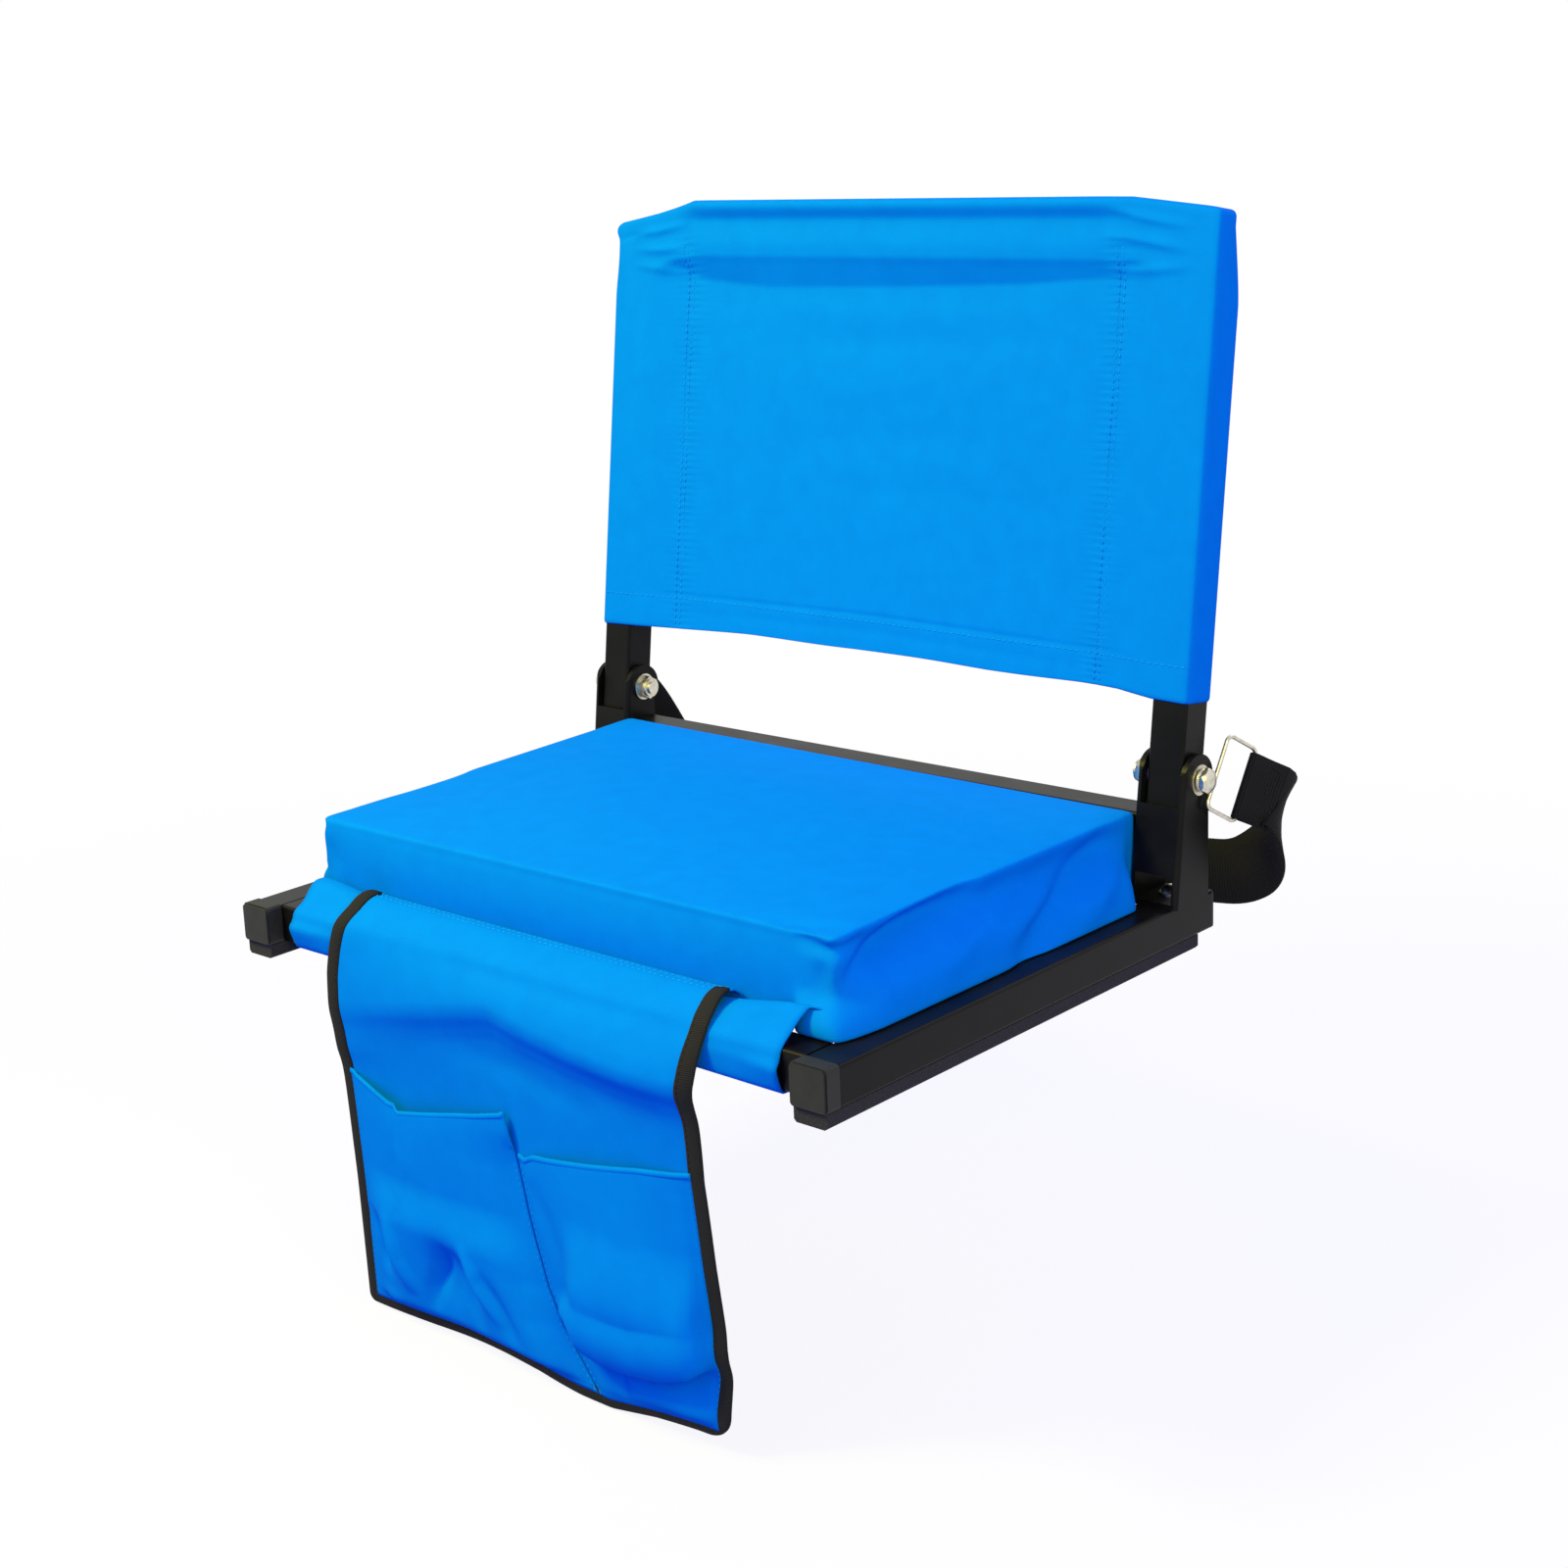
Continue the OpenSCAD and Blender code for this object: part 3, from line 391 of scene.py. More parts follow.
def two_tone(tree, factor, dark, light, low=0.3, high=0.7):
    """A colour that goes from dark to light as the factor goes from low to high."""
    shade = add(tree, "ShaderNodeValToRGB", {"Fac": factor})["Color"]
    for stop, place, colour in zip(shade.node.color_ramp.elements, (low, high), (dark, light)):
        stop.position, stop.color = place, linear(colour)
    return shade


def threads(tree, place, spacing_mm, way):
    """Round threads side by side, spacing_mm apart, running across the named direction."""
    return add(tree, "ShaderNodeTexWave", {
        "Vector": place, "Scale": 2 * math.pi / (20 * spacing_mm * MM)}, bands_direction=way)["Fac"]


def mottled(name, tones, cloud, grain, bump, rough, values):
    """A finish whose colour, and roughness where that is a pair, wander with a cloudy noise of
    (size, detail). A finer noise, the grain, gives the bump of (strength, depth)."""
    material, tree, place = new_material(name)
    drift = noise(tree, place, *cloud)
    if isinstance(rough, tuple):
        rough = add(tree, "ShaderNodeMapRange",
                    {"Value": drift, "To Min": rough[0], "To Max": rough[1]})[0]
    finish_surface(tree, {"Base Color": two_tone(tree, drift, *tones), "Roughness": rough, **values},
                   noise(tree, place, *grain), *bump)
    return material


# %% Steel, plastic, foam and thread
# Black powder coat is baked on: a hard even skin with a faint orange peel and a satin gloss.
powder_coat = mottled("black_powder_coat", ("#0B0B0A", "#141412"), (22, 3), (1.6, 1), (0.25, 0.05),
                      (0.3, 0.44), {"Specular IOR Level": 0.1})
# Moulded polypropylene has a fine spark-eroded grain and is a dull grey-black.
polypropylene = mottled("moulded_polypropylene", ("#1C1D1C", "#262725"), (9, 3), (0.8, 2), (0.35, 0.06),
                        0.6, {"Specular IOR Level": 0.3})
# Bright zinc plate on steel is a soft warm silver with cloudy patches.
zinc_plate = mottled("bright_zinc_plate", ("#BDB8A8", "#DDD9CC"), (3, 3), (0.7, 2), (0.15, 0.02),
                     (0.22, 0.38), {"Metallic": 1.0})
# Natural moulded nylon is milky and slightly waxy.
nylon = mottled("moulded_nylon", ("#D6D3C6", "#E4E2DA"), (4, 2), (0.6, 2), (0.2, 0.03), 0.45, {})


def foam_strip():
    """Closed-cell EVA foam cut from sheet: matt, with small open cells on the cut faces."""
    material, tree, place = new_material("eva_foam")
    cells = add(tree, "ShaderNodeTexVoronoi", {"Vector": place, "Scale": 1 / (1.1 * MM)})["Distance"]
    # The colour is darker in the pits of the open cells and lighter between them, following the bump: painted shade in
    # the cells.
    finish_surface(tree, {"Base Color": two_tone(tree, cells, "#2B2B27", "#3B3B36", 0.1, 0.8),
                          "Roughness": 0.9, "Specular IOR Level": 0.2}, cells, 0.6, 0.15)
    return material


def sewing_thread(name, *tones):
    """Bonded polyester thread: twisted, a little brighter than the cloth it holds."""
    return mottled(name, tones, (0.5, 1), (0.5, 1), (0.2, 0.05), 0.6, {"Specular IOR Level": 0.1})


# %% Cloth
def oxford_cloth(name, thread_mm, *tones):
    """Azure polyester oxford with a coated back: an even plain weave, very matt, with faint slubs.
    The real threads are near 0.4 mm; they are drawn at thread_mm so that they show."""
    material, tree, place = new_material(name)
    flat = add(tree, "ShaderNodeUVMap", uv_map="cloth")[0]
    weave = maths(tree, "MULTIPLY", *[threads(tree, flat, thread_mm, way) for way in "XY"])
    finish_surface(tree, {"Base Color": two_tone(tree, noise(tree, place, 14, 3), *tones, 0.25, 0.75),
                          "Roughness": 0.8, "Specular IOR Level": 0.03}, weave, 0.3, 0.08)
    return material


def ribbed_tape(name, rib_mm, *tones):
    """Black grosgrain or webbing: ribs across its length, woven from dull filament yarn."""
    material, tree, _ = new_material(name)
    flat = add(tree, "ShaderNodeUVMap", uv_map="cloth")[0]
    ribs = threads(tree, flat, rib_mm, "Y")
    height = maths(tree, "MULTIPLY_ADD", threads(tree, flat, rib_mm * 0.7, "X"), 0.4, ribs)
    # The colour is darker in the valleys between the ribs and lighter on their crests, following the bump: painted
    # shade in the valleys and painted light on the crests.
    finish_surface(tree, {"Base Color": two_tone(tree, ribs, *tones, 0.1, 0.9), "Roughness": 0.8,
                          "Specular IOR Level": 0.15}, height, 0.6, 0.2)
    return material


azure = oxford_cloth("azure_polyester_oxford", 0.8, "#008CE2", "#0092E8")
azure_thread = sewing_thread("azure_polyester_thread", "#009AEC", "#10A6F2")
black_thread = sewing_thread("black_polyester_thread", "#1C1C1A", "#30302C")
binding_black = ribbed_tape("black_grosgrain_binding", 1.1, "#171715", "#2A2A27")
webbing_black = ribbed_tape("black_polypropylene_webbing", 1.7, "#0D0D0C", "#1D1D1B")
hook_black = ribbed_tape("black_hook_tape", 1.2, "#101010", "#222222")

# %% Finishes of the CAD nodes
finishes = {"tube_paint": powder_coat, "bracket_paint": powder_coat, "cap_plastic": polypropylene,
            "runner_foam": foam_strip(), "zinc_plate": zinc_plate, "nylon": nylon}
for name, piece in nodes.items():
    if slot_of[name] in finishes:
        piece.data.materials.clear()
        piece.data.materials.append(finishes[slot_of[name]])
print("finishes", len(bpy.data.materials))

# %% [markdown]
# ## The back cover
# On the real seat the cover is a flat bag. It slips over the bent tube, and two stitched seams
# make sleeves round the uprights. The top bar lifts the cloth, and below it the cloth falls
# back to the middle of the sleeve, which makes the long shadow near the top. At the top
# corners the bag is square and the tube is round, so the cloth there is pinched flat.
# Two functions give the front and the back of the bag, so the stitches can follow them.

# %% Back cover surface
cover_face, cover_side, cover_top, hem_base, tube_w, cover_pitch = 12.5, 221.3, 310.3, 39.0, 22.0, 4.2
upright_in, bar_low, seam_x, panel_depth, fold_high = 198.0, 287.0, 160.0, 7.2, 276.5
bend_x, bend_u, bend_r = 151.0, 240.0, 69.0
valley_edge = [(-190, 270), (-170, 265.5), (-146, 262), (-98, 258.5), (0, 260), (96, 263), (150, 267),
               (175, 270), (195, 276)]
valley_lens = [(-192, 0), (-165, 0.45), (-120, 0.9), (0, 1), (90, 0.85), (150, 0.45), (190, 0)]
top_line = [(-222, 296.6), (-216, 297.6), (-188, 302.7), (-154.6, 310.3), (165, 310.3), (206, 306), (222, 303.4)]
hem_line = [(-222, 38.1), (-177, 40.7), (-100, 43.2), (-14, 44.1), (83, 43.2), (150, 43.7), (176, 43.2),
            (198, 41), (222, 40.7)]


def beyond_bend(x, u):
    """How far a point lies outside the tube's round corner, from 0 at the tube to 1 at the bag's corner."""
    away = np.hypot(np.clip(np.abs(x) - bend_x, 0, None), np.clip(u - bend_u, 0, None))
    return np.clip((away - bend_r - 2.0) / tube_w, 0, 1) * (np.abs(x) > bend_x) * (u > bend_u)


def off_tube(x, u):
    """0 where the layer lies on the bent tube, and 1 from a little way inside the tube's opening."""
    ax = np.abs(x)
    bend = bend_r - tube_w - np.hypot(ax - bend_x, u - bend_u)
    return smooth(0, 9, np.where((ax > bend_x) & (u > bend_u), bend, np.minimum(upright_in - ax, bar_low - u)))


def seam_pull(x, u, depth, pucker, start, end):
    """The groove of the two long seams, and the puckers that the thread draws beside them."""
    waves = pucker * np.sin(2 * np.pi * u / cover_pitch) * bell(np.abs(x), 157.5, 7.5) * smooth(start, end, u)
    return depth * bell(np.abs(x), seam_x, 1.5) * smooth(286, 280, u), waves


def cover_front(x, u):
    """Place of the front layer in front of the hinge plane, at x across and u up the back."""
    edge, lens = along(x, valley_edge), along(x, valley_lens)
    rise = np.clip((u - edge) / (fold_high - edge), 0, 1)
    relax = bell(np.clip(edge - u, 0, None), 0, 26.0)
    narrow = np.clip((fold_high - edge) / 15.0, 0.3, 1.0)
    seam = smooth(upright_in, seam_x, np.abs(x))
    fall = (1 - rise) * (panel_depth + 2.0 * lens * relax) * narrow * seam * off_tube(x, u)
    folds = creases(
        x, u, (0.8, 8, [(-150, 222), (5, 228), (150, 231)]), (0.6, 9, [(-110, 166), (20, 173), (110, 181)]),
        (0.5, 8, [(-60, 143), (40, 141), (150, 140)]), (-0.7, 8, [(-120, 246), (0, 244), (120, 250)]),
        (-0.5, 10, [(-140, 198), (10, 202), (120, 206)]), (1.2, 3.5, [(-192, 278), (-172, 271), (-150, 266)]),
        (1.1, 3.2, [(-200, 290), (-176, 286), (-150, 281)]), (-0.6, 3, [(-206, 284), (-176, 279), (-150, 274)]),
        (1.8, 2.2, [(-221, 299), (-205, 300), (-186, 302)]), (1.5, 2.6, [(158, 272), (172, 274), (184, 276)]),
        (-0.8, 4, [(162, 286), (180, 285), (198, 285)]), (0.4, 4, [(-165, 50), (0, 53), (165, 50)], 0.5),
        (0.7, 1.6, [(-178, 62.5), (0, 65), (178, 63)], 0.4))
    gathers = creases(
        x, u, (1.9, 2.4, [(-210, 302), (-184, 298), (-156, 297)]), (2, 3, [(-206, 290), (-182, 285), (-156, 281)]),
        (1.6, 3, [(-204, 278), (-180, 271), (-160, 264)]), (1.9, 2.4, [(150, 304), (172, 300), (204, 298)]),
        (2.3, 2.6, [(146, 289), (174, 288), (204, 285)]), (1.8, 3, [(150, 270), (178, 272), (206, 276)]))
    clear = np.maximum(off_tube(x, u), beyond_bend(x, u))
    bead = (1.2 * smooth(284, 296, u) - 5.2 * smooth(297.5, 306.5, u) - 1.2 * smooth(272, 284, u)) \
        * smooth(176, 140, np.abs(x))
    groove, pucker = seam_pull(x, u, 0.55, 0.42, 296, 284)
    return -cover_face + fall + folds * clear + bead + groove + pucker - gathers - 0.3


def cover_back(x, u):
    """Place of the rear layer, at x across and u up the back."""
    fall = smooth(285, 245, u)
    folds = creases(x, u, (0.9, 10, [(-150, 214), (0, 206), (150, 212)]),
                    (0.8, 12, [(-150, 120), (0, 128), (150, 122)]),
                    (1, 6, [(-190, 282), (-160, 262), (-120, 250)]), (1, 6, [(190, 282), (160, 262), (120, 250)]))
    panel = 2 * cover_face - panel_depth - 2.4
    groove, pucker = seam_pull(x, u, 0.45, 0.22, 280, 262)
    inside = (panel * fall + folds * fall) * smooth(upright_in, seam_x, np.abs(x)) * off_tube(x, u)
    return (cover_face - inside) * (1 - 0.62 * beyond_bend(x, u)) - groove + pucker


def cover_shift(x, u):
    """Moves the bag's straight grid to its real outline."""
    up = u - (cover_top - along(x, top_line)) * smooth(238, 304, u)
    up = up + (along(x, hem_line) - hem_base) * smooth(76, 39, u)
    up = up + 0.35 * np.sin(x / 21.0) * smooth(60, 39, u)
    inward = 1.6 * smooth(250, 290, u) * smooth(150, 221, np.abs(x)) * np.where(x < 0, 1.0, 0.3)
    return x - np.sign(x) * inward - mound(x, u, (-222, 305), 2.6, 7, 4), up


# %% Back cover shape
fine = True
cover_lines = [
    spaced(-cover_side, cover_side, 4.6, (-166, -152, 1.6), (152, 166, 1.6), (-221.3, -214, 1.8), (214, 221.3, 1.8)),
    spaced(-cover_face, cover_face, 3.2), spaced(hem_base, cover_top, 1.45 if fine else 2.6)]
rounded, cover_faces, cover_uv, _ = box_shell(cover_lines, 3.4, ("-y", "+y", "-x", "+x", "+z"))
x, y, u = rounded.T
share = np.clip((y + cover_face) / (2 * cover_face), 0, 1)
y = cover_front(x, u) * (1 - share) + cover_back(x, u) * share
x, u = cover_shift(x, u)
cover = thickened(mesh_piece("back_cover_cloth", from_back(x, y, u), cover_faces, cover_uv, azure), 0.9, -1.0)

# %% [markdown]
# ## The sling
# The sling is one length of cloth sewn round the front and rear cross tubes. In front of the
# cushion it isn't pulled tight and stands up in a low roll. Its side view is a smooth curve
# through a few points, drawn again at each place across the seat.

# %% Curves through points
def run_along(line):
    """How far each point of a line lies along it."""
    return np.concatenate([[0], np.cumsum(np.linalg.norm(np.diff(line, axis=0), axis=1))])


def curve_points(controls, count):
    """Evenly spaced points on a smooth curve through the control points, and its length."""
    controls = np.array(controls, float)
    padded = np.vstack([2 * controls[0] - controls[1], controls, 2 * controls[-1] - controls[-2]])
    dense = [0.5 * (2 * p1 + (p2 - p0) * t + (2 * p0 - 5 * p1 + 4 * p2 - p3) * t ** 2
                    + (3 * p1 - p0 - 3 * p2 + p3) * t ** 3)
             for p0, p1, p2, p3 in zip(padded, padded[1:], padded[2:], padded[3:])
             for t in np.linspace(0, 1, 24, endpoint=False)]
    dense = np.array([*dense, controls[-1]])
    run = run_along(dense)
    even = np.linspace(0, run[-1], count)
    return np.stack([np.interp(even, run, column) for column in dense.T], axis=-1), run[-1]


# %% Sling
tube_low, tube_high = box_mm("front_tube")
rear_low, rear_high = box_mm("rear_tube")
sling_out, sling_left, sling_right, sling_t, sling_count = 1.5, -186.0, 183.6, 1.1, 190


def sling_profile(x):
    """The sling's outer face at one place across, from under the rear tube to under the front one."""
    right, left = smooth(150, 186, x), smooth(-130, -186, x)
    front, top, low = tube_low[1] - sling_out, tube_high[2] + sling_out, tube_low[2] - sling_out
    back, behind = rear_high[1] + sling_out, tube_high[1] + sling_out
    bow = 1.2 + 2.2 * right + 2.6 * left
    peak = 38.0 + 7.0 * smooth(120, 184, x) + 5.2 * left + 0.4 * math.sin(x / 31.0)
    return [
        (rear_low[1] - 4, low + 1), (rear_high[1] - 3, low), (back, low + 3), (back, top - 3),
        (rear_high[1] - 3, top), (rear_low[1] - 20, top), (0, top), (-80, top), (-114, top + 0.4),
        (-124, top + 2.2), (-129.5, peak - 1.6), (-134.5, peak), (-141, peak - 1.2 - 2.4 * right),
        (-149, top + 2.2 + 2.2 * right), (front + 1.2, top - 2.5 + 1.0 * right), (front - 0.3 * bow, top - 7.5),
        (front - bow, (top + low) / 2 + 1), (front - 0.3 * bow, low + 5), (front + 0.8, low + 1.2),
        (front + 4, low), (tube_high[1] - 3, low), (behind, low + 3), (behind, low + 12)]


across = np.linspace(sling_left, sling_right, 94)
curves, lengths = zip(*[curve_points(sling_profile(v), sling_count) for v in across])
sling_grid = np.array([np.column_stack([np.full(sling_count, v), c]) for v, c in zip(across, curves)])
sling_l = float(np.mean(lengths))
sling_flat = np.array([[(v, s) for s in np.linspace(0, sling_l, sling_count)] for v in across])
x, y = sling_grid[..., 0], sling_grid[..., 1]
sling_grid[..., 2] += (1 - smooth(-140, -128, y)) * smooth(-158, -150, y) * creases(
    x, y, (0.9, 3, [(150, -150), (170, -146), (186, -140)]), (-0.7, 4, [(140, -143), (165, -140), (186, -134)]))
sling_grid[..., 0] += 8.5 * smooth(166, sling_right, x) * smooth(-134, -130, y) * smooth(-96, -106, y)
sling = sheet_piece("sling_cloth", sling_grid, sling_flat, azure, sling_t, -1.0)
print("sling length", round(sling_l), "mm")

# %% [markdown]
# ## The cushion
# A foam slab in a sewn box cover. The top and bottom seams hold their line while the cloth
# between them swells, so those seams are pinned and a cloth simulation blows up the rest.
# The long folds of the sides and the gathers at the corners are pressed in afterwards.

# %% Cushion body
cushion_low, cushion_high = box_mm("seat_cushion")
seat_low = np.array([-194.5, cushion_low[1] - 0.8, cushion_low[2] - 0.6])
seat_high = np.array([194.5, cushion_high[1] + 0.3, 79.4])
middle_y = (seat_low[1] + seat_high[1]) / 2
half_x, half_y = seat_high[0], (seat_high[1] - seat_low[1]) / 2
seat_step, corner_r = (4.4 if fine else 7.0), 4.0
start, cushion_faces, cushion_uv, square = box_shell(
    [spaced(a, b, step) for a, b, step in zip(seat_low, seat_high, (seat_step, seat_step, 3.6))], 2.4)
x, y, z = start.T
y = y - middle_y
ix, iy = np.clip(x, -half_x + corner_r, half_x - corner_r), np.clip(y, -half_y + corner_r, half_y - corner_r)
dx, dy = round_off(x - ix, y - iy)
start = np.column_stack([ix + dx, iy + dy + middle_y, z])
print("cushion body", np.round(seat_low, 1), np.round(seat_high, 1))


# %% Swelling
def swell(name, points, faces, held, pressure, frames, cap):
    """Blows a closed cloth up with the held points kept still, and limits how far any point moves."""
    piece = mesh_piece(name, points, faces)
    group = piece.vertex_groups.new(name="held")
    group.add([int(k) for k in np.nonzero(held)[0]], 1.0, "REPLACE")
    rules = piece.modifiers.new("cloth", "CLOTH").settings
    rules.quality, rules.mass, rules.vertex_group_mass = 6, 0.2, "held"
    rules.tension_stiffness = rules.compression_stiffness = 25
    rules.shear_stiffness, rules.bending_stiffness = 8, 1.5
    rules.use_pressure, rules.uniform_pressure_force = True, pressure
    rules.effector_weights.gravity = 0
    for f in range(1, frames + 1):
        bpy.context.scene.frame_set(f)
    moved = np.array([v.co[:] for v in baked(piece).data.vertices]) / MM - points
    size = np.linalg.norm(moved, axis=1, keepdims=True)
    moved *= np.minimum(1, cap / np.maximum(size, 1e-9))
    bpy.context.scene.frame_set(1)
    bpy.data.objects.remove(piece)
    return points + moved


on_side = (np.abs(square[:, :2] - [0, middle_y]) > [half_x - 0.1, half_y - 0.1]).any(axis=1)
on_top, on_bottom = square[:, 2] > seat_high[2] - 0.1, square[:, 2] < seat_low[2] + 0.1
if fine:
    swollen = swell("cushion_trial", start, cushion_faces, on_top & on_side | on_bottom, 3.0, 20, 4.6)
else:
    crown = (1 - (start[:, 0] / half_x) ** 4) * (1 - ((start[:, 1] - middle_y) / half_y) ** 4)
    swollen = start.copy()
    swollen[:, 2] += 4.0 * on_top * np.clip(crown, 0, 1)
print("cushion swells up to", round(float(np.abs(swollen - start).max()), 2), "mm")

# %% Cushion folds
x, y, z = swollen.T.copy()
height = np.clip((z - seat_low[2]) / (seat_high[2] - seat_low[2]), 0, 1.2)
backward = np.clip((y - seat_low[1]) / (seat_high[1] - seat_low[1]), 0, 1)
right = np.clip((x + half_x) / (2 * half_x), 0, 1)
z += height * ((-2.6 * (1 - right) - 0.3 * right) * (1 - backward) + (2.6 * (1 - right) + 0.6 * right) * backward)
between = smooth(113.5, 122.5, y)
belly = smooth(-142, -104, y) * (1 - between) * (
    10.5 * smooth(0.66, 0.16, height) + 5.0 * smooth(0.2, 0.02, height))
tuck = 5.2 * smooth(-118, -90, y) * smooth(132, 96, y) * bell(height, 0.74, 0.17)
side_folds = creases(
    y, z, (9, 6, [(-128, 48), (-106, 60), (-70, 69), (-10, 75)], 0.6), (9, 6.5, [(-10, 30), (48, 48), (110, 74)]),
    (-3.2, 6, [(-70, 42), (-16, 56), (40, 68)]), (-3.4, 6, [(60, 36), (90, 50), (124, 68)]),
    (5, 2.4, [(-128, 73), (-116, 71), (-100, 74)], 0.4), (4.5, 2.4, [(-136, 47), (-120, 45), (-102, 46)], 0.4))
x += np.sign(x) * smooth(half_x - 12, half_x - 3, np.abs(x)) * (belly - tuck - side_folds)
front_y = smooth(-half_y + 12, -half_y + 3, y - middle_y)
y += front_y * creases(
    x, z, (5.5, 2.4, [(170, 75), (184, 73), (196, 69)], 0.4), (3, 2.6, [(188, 68), (185, 58), (189, 48)]),
    (3, 3, [(166, 36), (180, 43), (194, 47)]), (1.2, 4, [(-186, 66), (-182, 54), (-186, 42)]),
    (-1.5, 16, [(-180, 58), (0, 55), (176, 58)], 0.5), (-0.9, 1.8, [(-190, 78), (0, 78), (190, 78)], 0.2),
    (0.8, 1.8, [(-190, 74.5), (0, 75), (176, 74.5)], 0.2))
z -= smooth(seat_high[2] - 6, seat_high[2] - 1, square[:, 2]) * creases(
    x, y, (2.4, 3, [(150, -124), (168, -119), (190, -108)]), (1.6, 2, [(168, -127), (180, -121), (192, -117)]),
    (0.8, 14, [(-190, -70), (-150, -40), (-120, 20)]), (0.7, 16, [(20, -60), (90, -20), (170, 10)]))
# The bottom rests on the sling, its corners hang a little beside it, and a lip of the front right
# corner lies on the sling's roll.
z -= 5.0 * smooth(169, 175, np.abs(x)) * smooth(0.24, 0.03, height)
z = np.maximum(z, np.where(np.abs(x) > 172, 30.4, seat_low[2]))
y -= front_y * 12.0 * smooth(169, 175, x) * smooth(0.38, 0.12, height)
x += 2.0 * smooth(183, 190, x) * smooth(-112, -124, y) * smooth(0.3, 0.05, height)
limit = 207.5 - 14.3 * between  # the brackets stand close beside the cushion's rear end
x = np.clip(x, -limit, limit)
cushion = mesh_piece("cushion_cloth", np.column_stack([x, y, z]), cushion_faces, cushion_uv, azure)
soften = cushion.modifiers.new("round", "SUBSURF")
soften.levels = soften.render_levels = 1
baked(cushion)
print("cushion faces", len(cushion.data.polygons))

# %% [markdown]
# ## The pocket flap
# One panel of cloth is caught under the cushion, falls over the front tube and hangs. Its
# edges are bound in black tape and two pockets are sewn to it. The whole flap is written as one
# function of the flat cloth, so the binding and the pockets follow it exactly.

# %% Flap surface
hinge_z, flap_face, flap_w, flap_bottom, flap_lean = 4.5, tube_low[1] - sling_out - 2.2, 282.0, -207.6, 12.0
samples, half = 240, flap_w / 2
ridge_line = [(-150, -18), (-87, -5), (-51, 3), (-17, 11), (2, 7), (45, 2), (75, 0), (105, -1), (130, 0)]
ridge_out = [(-150, 3), (-90, 6.5), (-17, 7.5), (40, 10), (90, 11.5), (118, 9.5), (135, 6)]
left_edge = [(-209, -154.5), (-128, -152.8), (-41, -153), (1, -153), (16, -151), (28, -148), (37, -145)]
right_edge = [(-209, 131.5), (-181, 133.4), (-152, 135), (-102, 131), (-55, 128.6), (-13, 130.8), (5, 134.4),
              (31, 137), (40, 134.6)]
bottom_rise = [(-154, 0), (-100, -0.6), (-51, 0), (-9, 0.8), (24, -0.8), (48, -1), (79, 3.6), (110, 5.8),
               (135, 6.4)]


def flap_profile(x):
    """Side view of the flap at a place across it, from its tucked edge to its bottom."""
    ridge, out = along(x, ridge_line), along(x, ridge_out)
    right, left = smooth(110, 140, x), smooth(-110, -150, x)
    f, top = flap_face, 41.2 + 2.6 * right + 1.0 * left
    down = [(f + 0.6 * (1 - k) - out * (1 - (1 - k) ** 1.8), 26 + (ridge - 26) * k) for k in (0, 0.3, 0.6, 0.85)]
    return [
        (-68, 32), (-100, 32), (-116, 32.3), (-123.5, 35.2), (-128.5, 40), (-134.5, top), (-141.5, top - 1),
        (-149.5, 36.6), (-156, 31.5), *down, (f - out, ridge), (f - out * 0.86, ridge - 6),
        (f - out * 0.35, ridge - 15), (f + 0.6, ridge - 28), (f + 0.34 * flap_lean, min(-62.0, ridge - 45)),
        (f + 0.58 * flap_lean, -110), (f + 0.8 * flap_lean, -160), (f + flap_lean, flap_bottom)]


flap_keys = np.linspace(-155, 140, 41)
flap_curves, flap_lengths = zip(*[curve_points(flap_profile(v), samples) for v in flap_keys])
flap_curves = np.moveaxis(flap_curves, -1, 0)
flap_l = float(np.mean(flap_lengths))
print("flap cut", flap_w, "x", round(flap_l), "mm")


def flap_point(p, q):
    """Where the flat cloth's point (p across, q down from the tucked edge) hangs, in millimetres."""
    p, q = np.broadcast_arrays(np.asarray(p, float), np.asarray(q, float))
    row = np.clip((p - 10 - flap_keys[0]) / (flap_keys[-1] - flap_keys[0]), 0, 1) * (len(flap_keys) - 1)
    place = np.clip(q / flap_l, 0, 1) * (samples - 1)
    i, j = np.clip(row.astype(int), 0, len(flap_keys) - 2), np.clip(place.astype(int), 0, samples - 2)
    a, b = row - i, place - j
    y, z = sum(flap_curves[:, i + di, j + dj] * (wa * wb)
               for di, wa in ((0, 1 - a), (1, a)) for dj, wb in ((0, 1 - b), (1, b)))
    hanging = (y < -140) & (z < 40)
    down = np.clip((hinge_z - z) / (hinge_z - flap_bottom), 0, 1) * hanging
    left = np.where(hanging, along(z, left_edge), left_edge[-1][1])
    right = np.where(hanging, along(z, right_edge), right_edge[-1][1])
    x = left + (right - left) * ((p + half) / flap_w)
    z = z + down ** 3 * along(x, bottom_rise)
    y = y + down * (2.2 * np.sin((x + 150) / 43.0) + 1.6 * down * np.sin((x + 96) / 24.0))
    y = y + hanging * creases(
        x, z, (-3.6, 9, [(22, -156), (52, -158), (82, -158), (110, -153), (140, -148)], 0.5),
        (4.2, 9, [(26, -169), (60, -176), (94, -173), (138, -162)], 0.5),
        (-2.4, 8, [(40, -196), (80, -194), (135, -186)], 0.4),
        (2, 7, [(-142, -140), (-130, -158), (-126, -178)]), (1.2, 9, [(-60, -24), (0, -24), (60, -36)]))
    return np.stack([x, y, z], axis=-1)


def unit(v):
    """The directions, each made one long."""
    return v / np.maximum(np.linalg.norm(v, axis=-1, keepdims=True), 1e-9)


def off_flap(p, q, lift):
    """A point that stands off the flap's front by the given lift. The step finds the cloth's slopes."""
    step = 0.7
    across = flap_point(p + step, q) - flap_point(p - step, q)
    down = flap_point(p, q + step) - flap_point(p, q - step)
    return flap_point(p, q) + unit(np.cross(down, across)) * np.asarray(lift)[..., None]


def q_at(x, depth):
    """How far down the flat cloth its side view comes forward to a depth, at x."""
    line = flap_curves[0, np.argmin(np.abs(flap_keys - x))]
    return np.argmax(line < depth) / (samples - 1) * flap_l


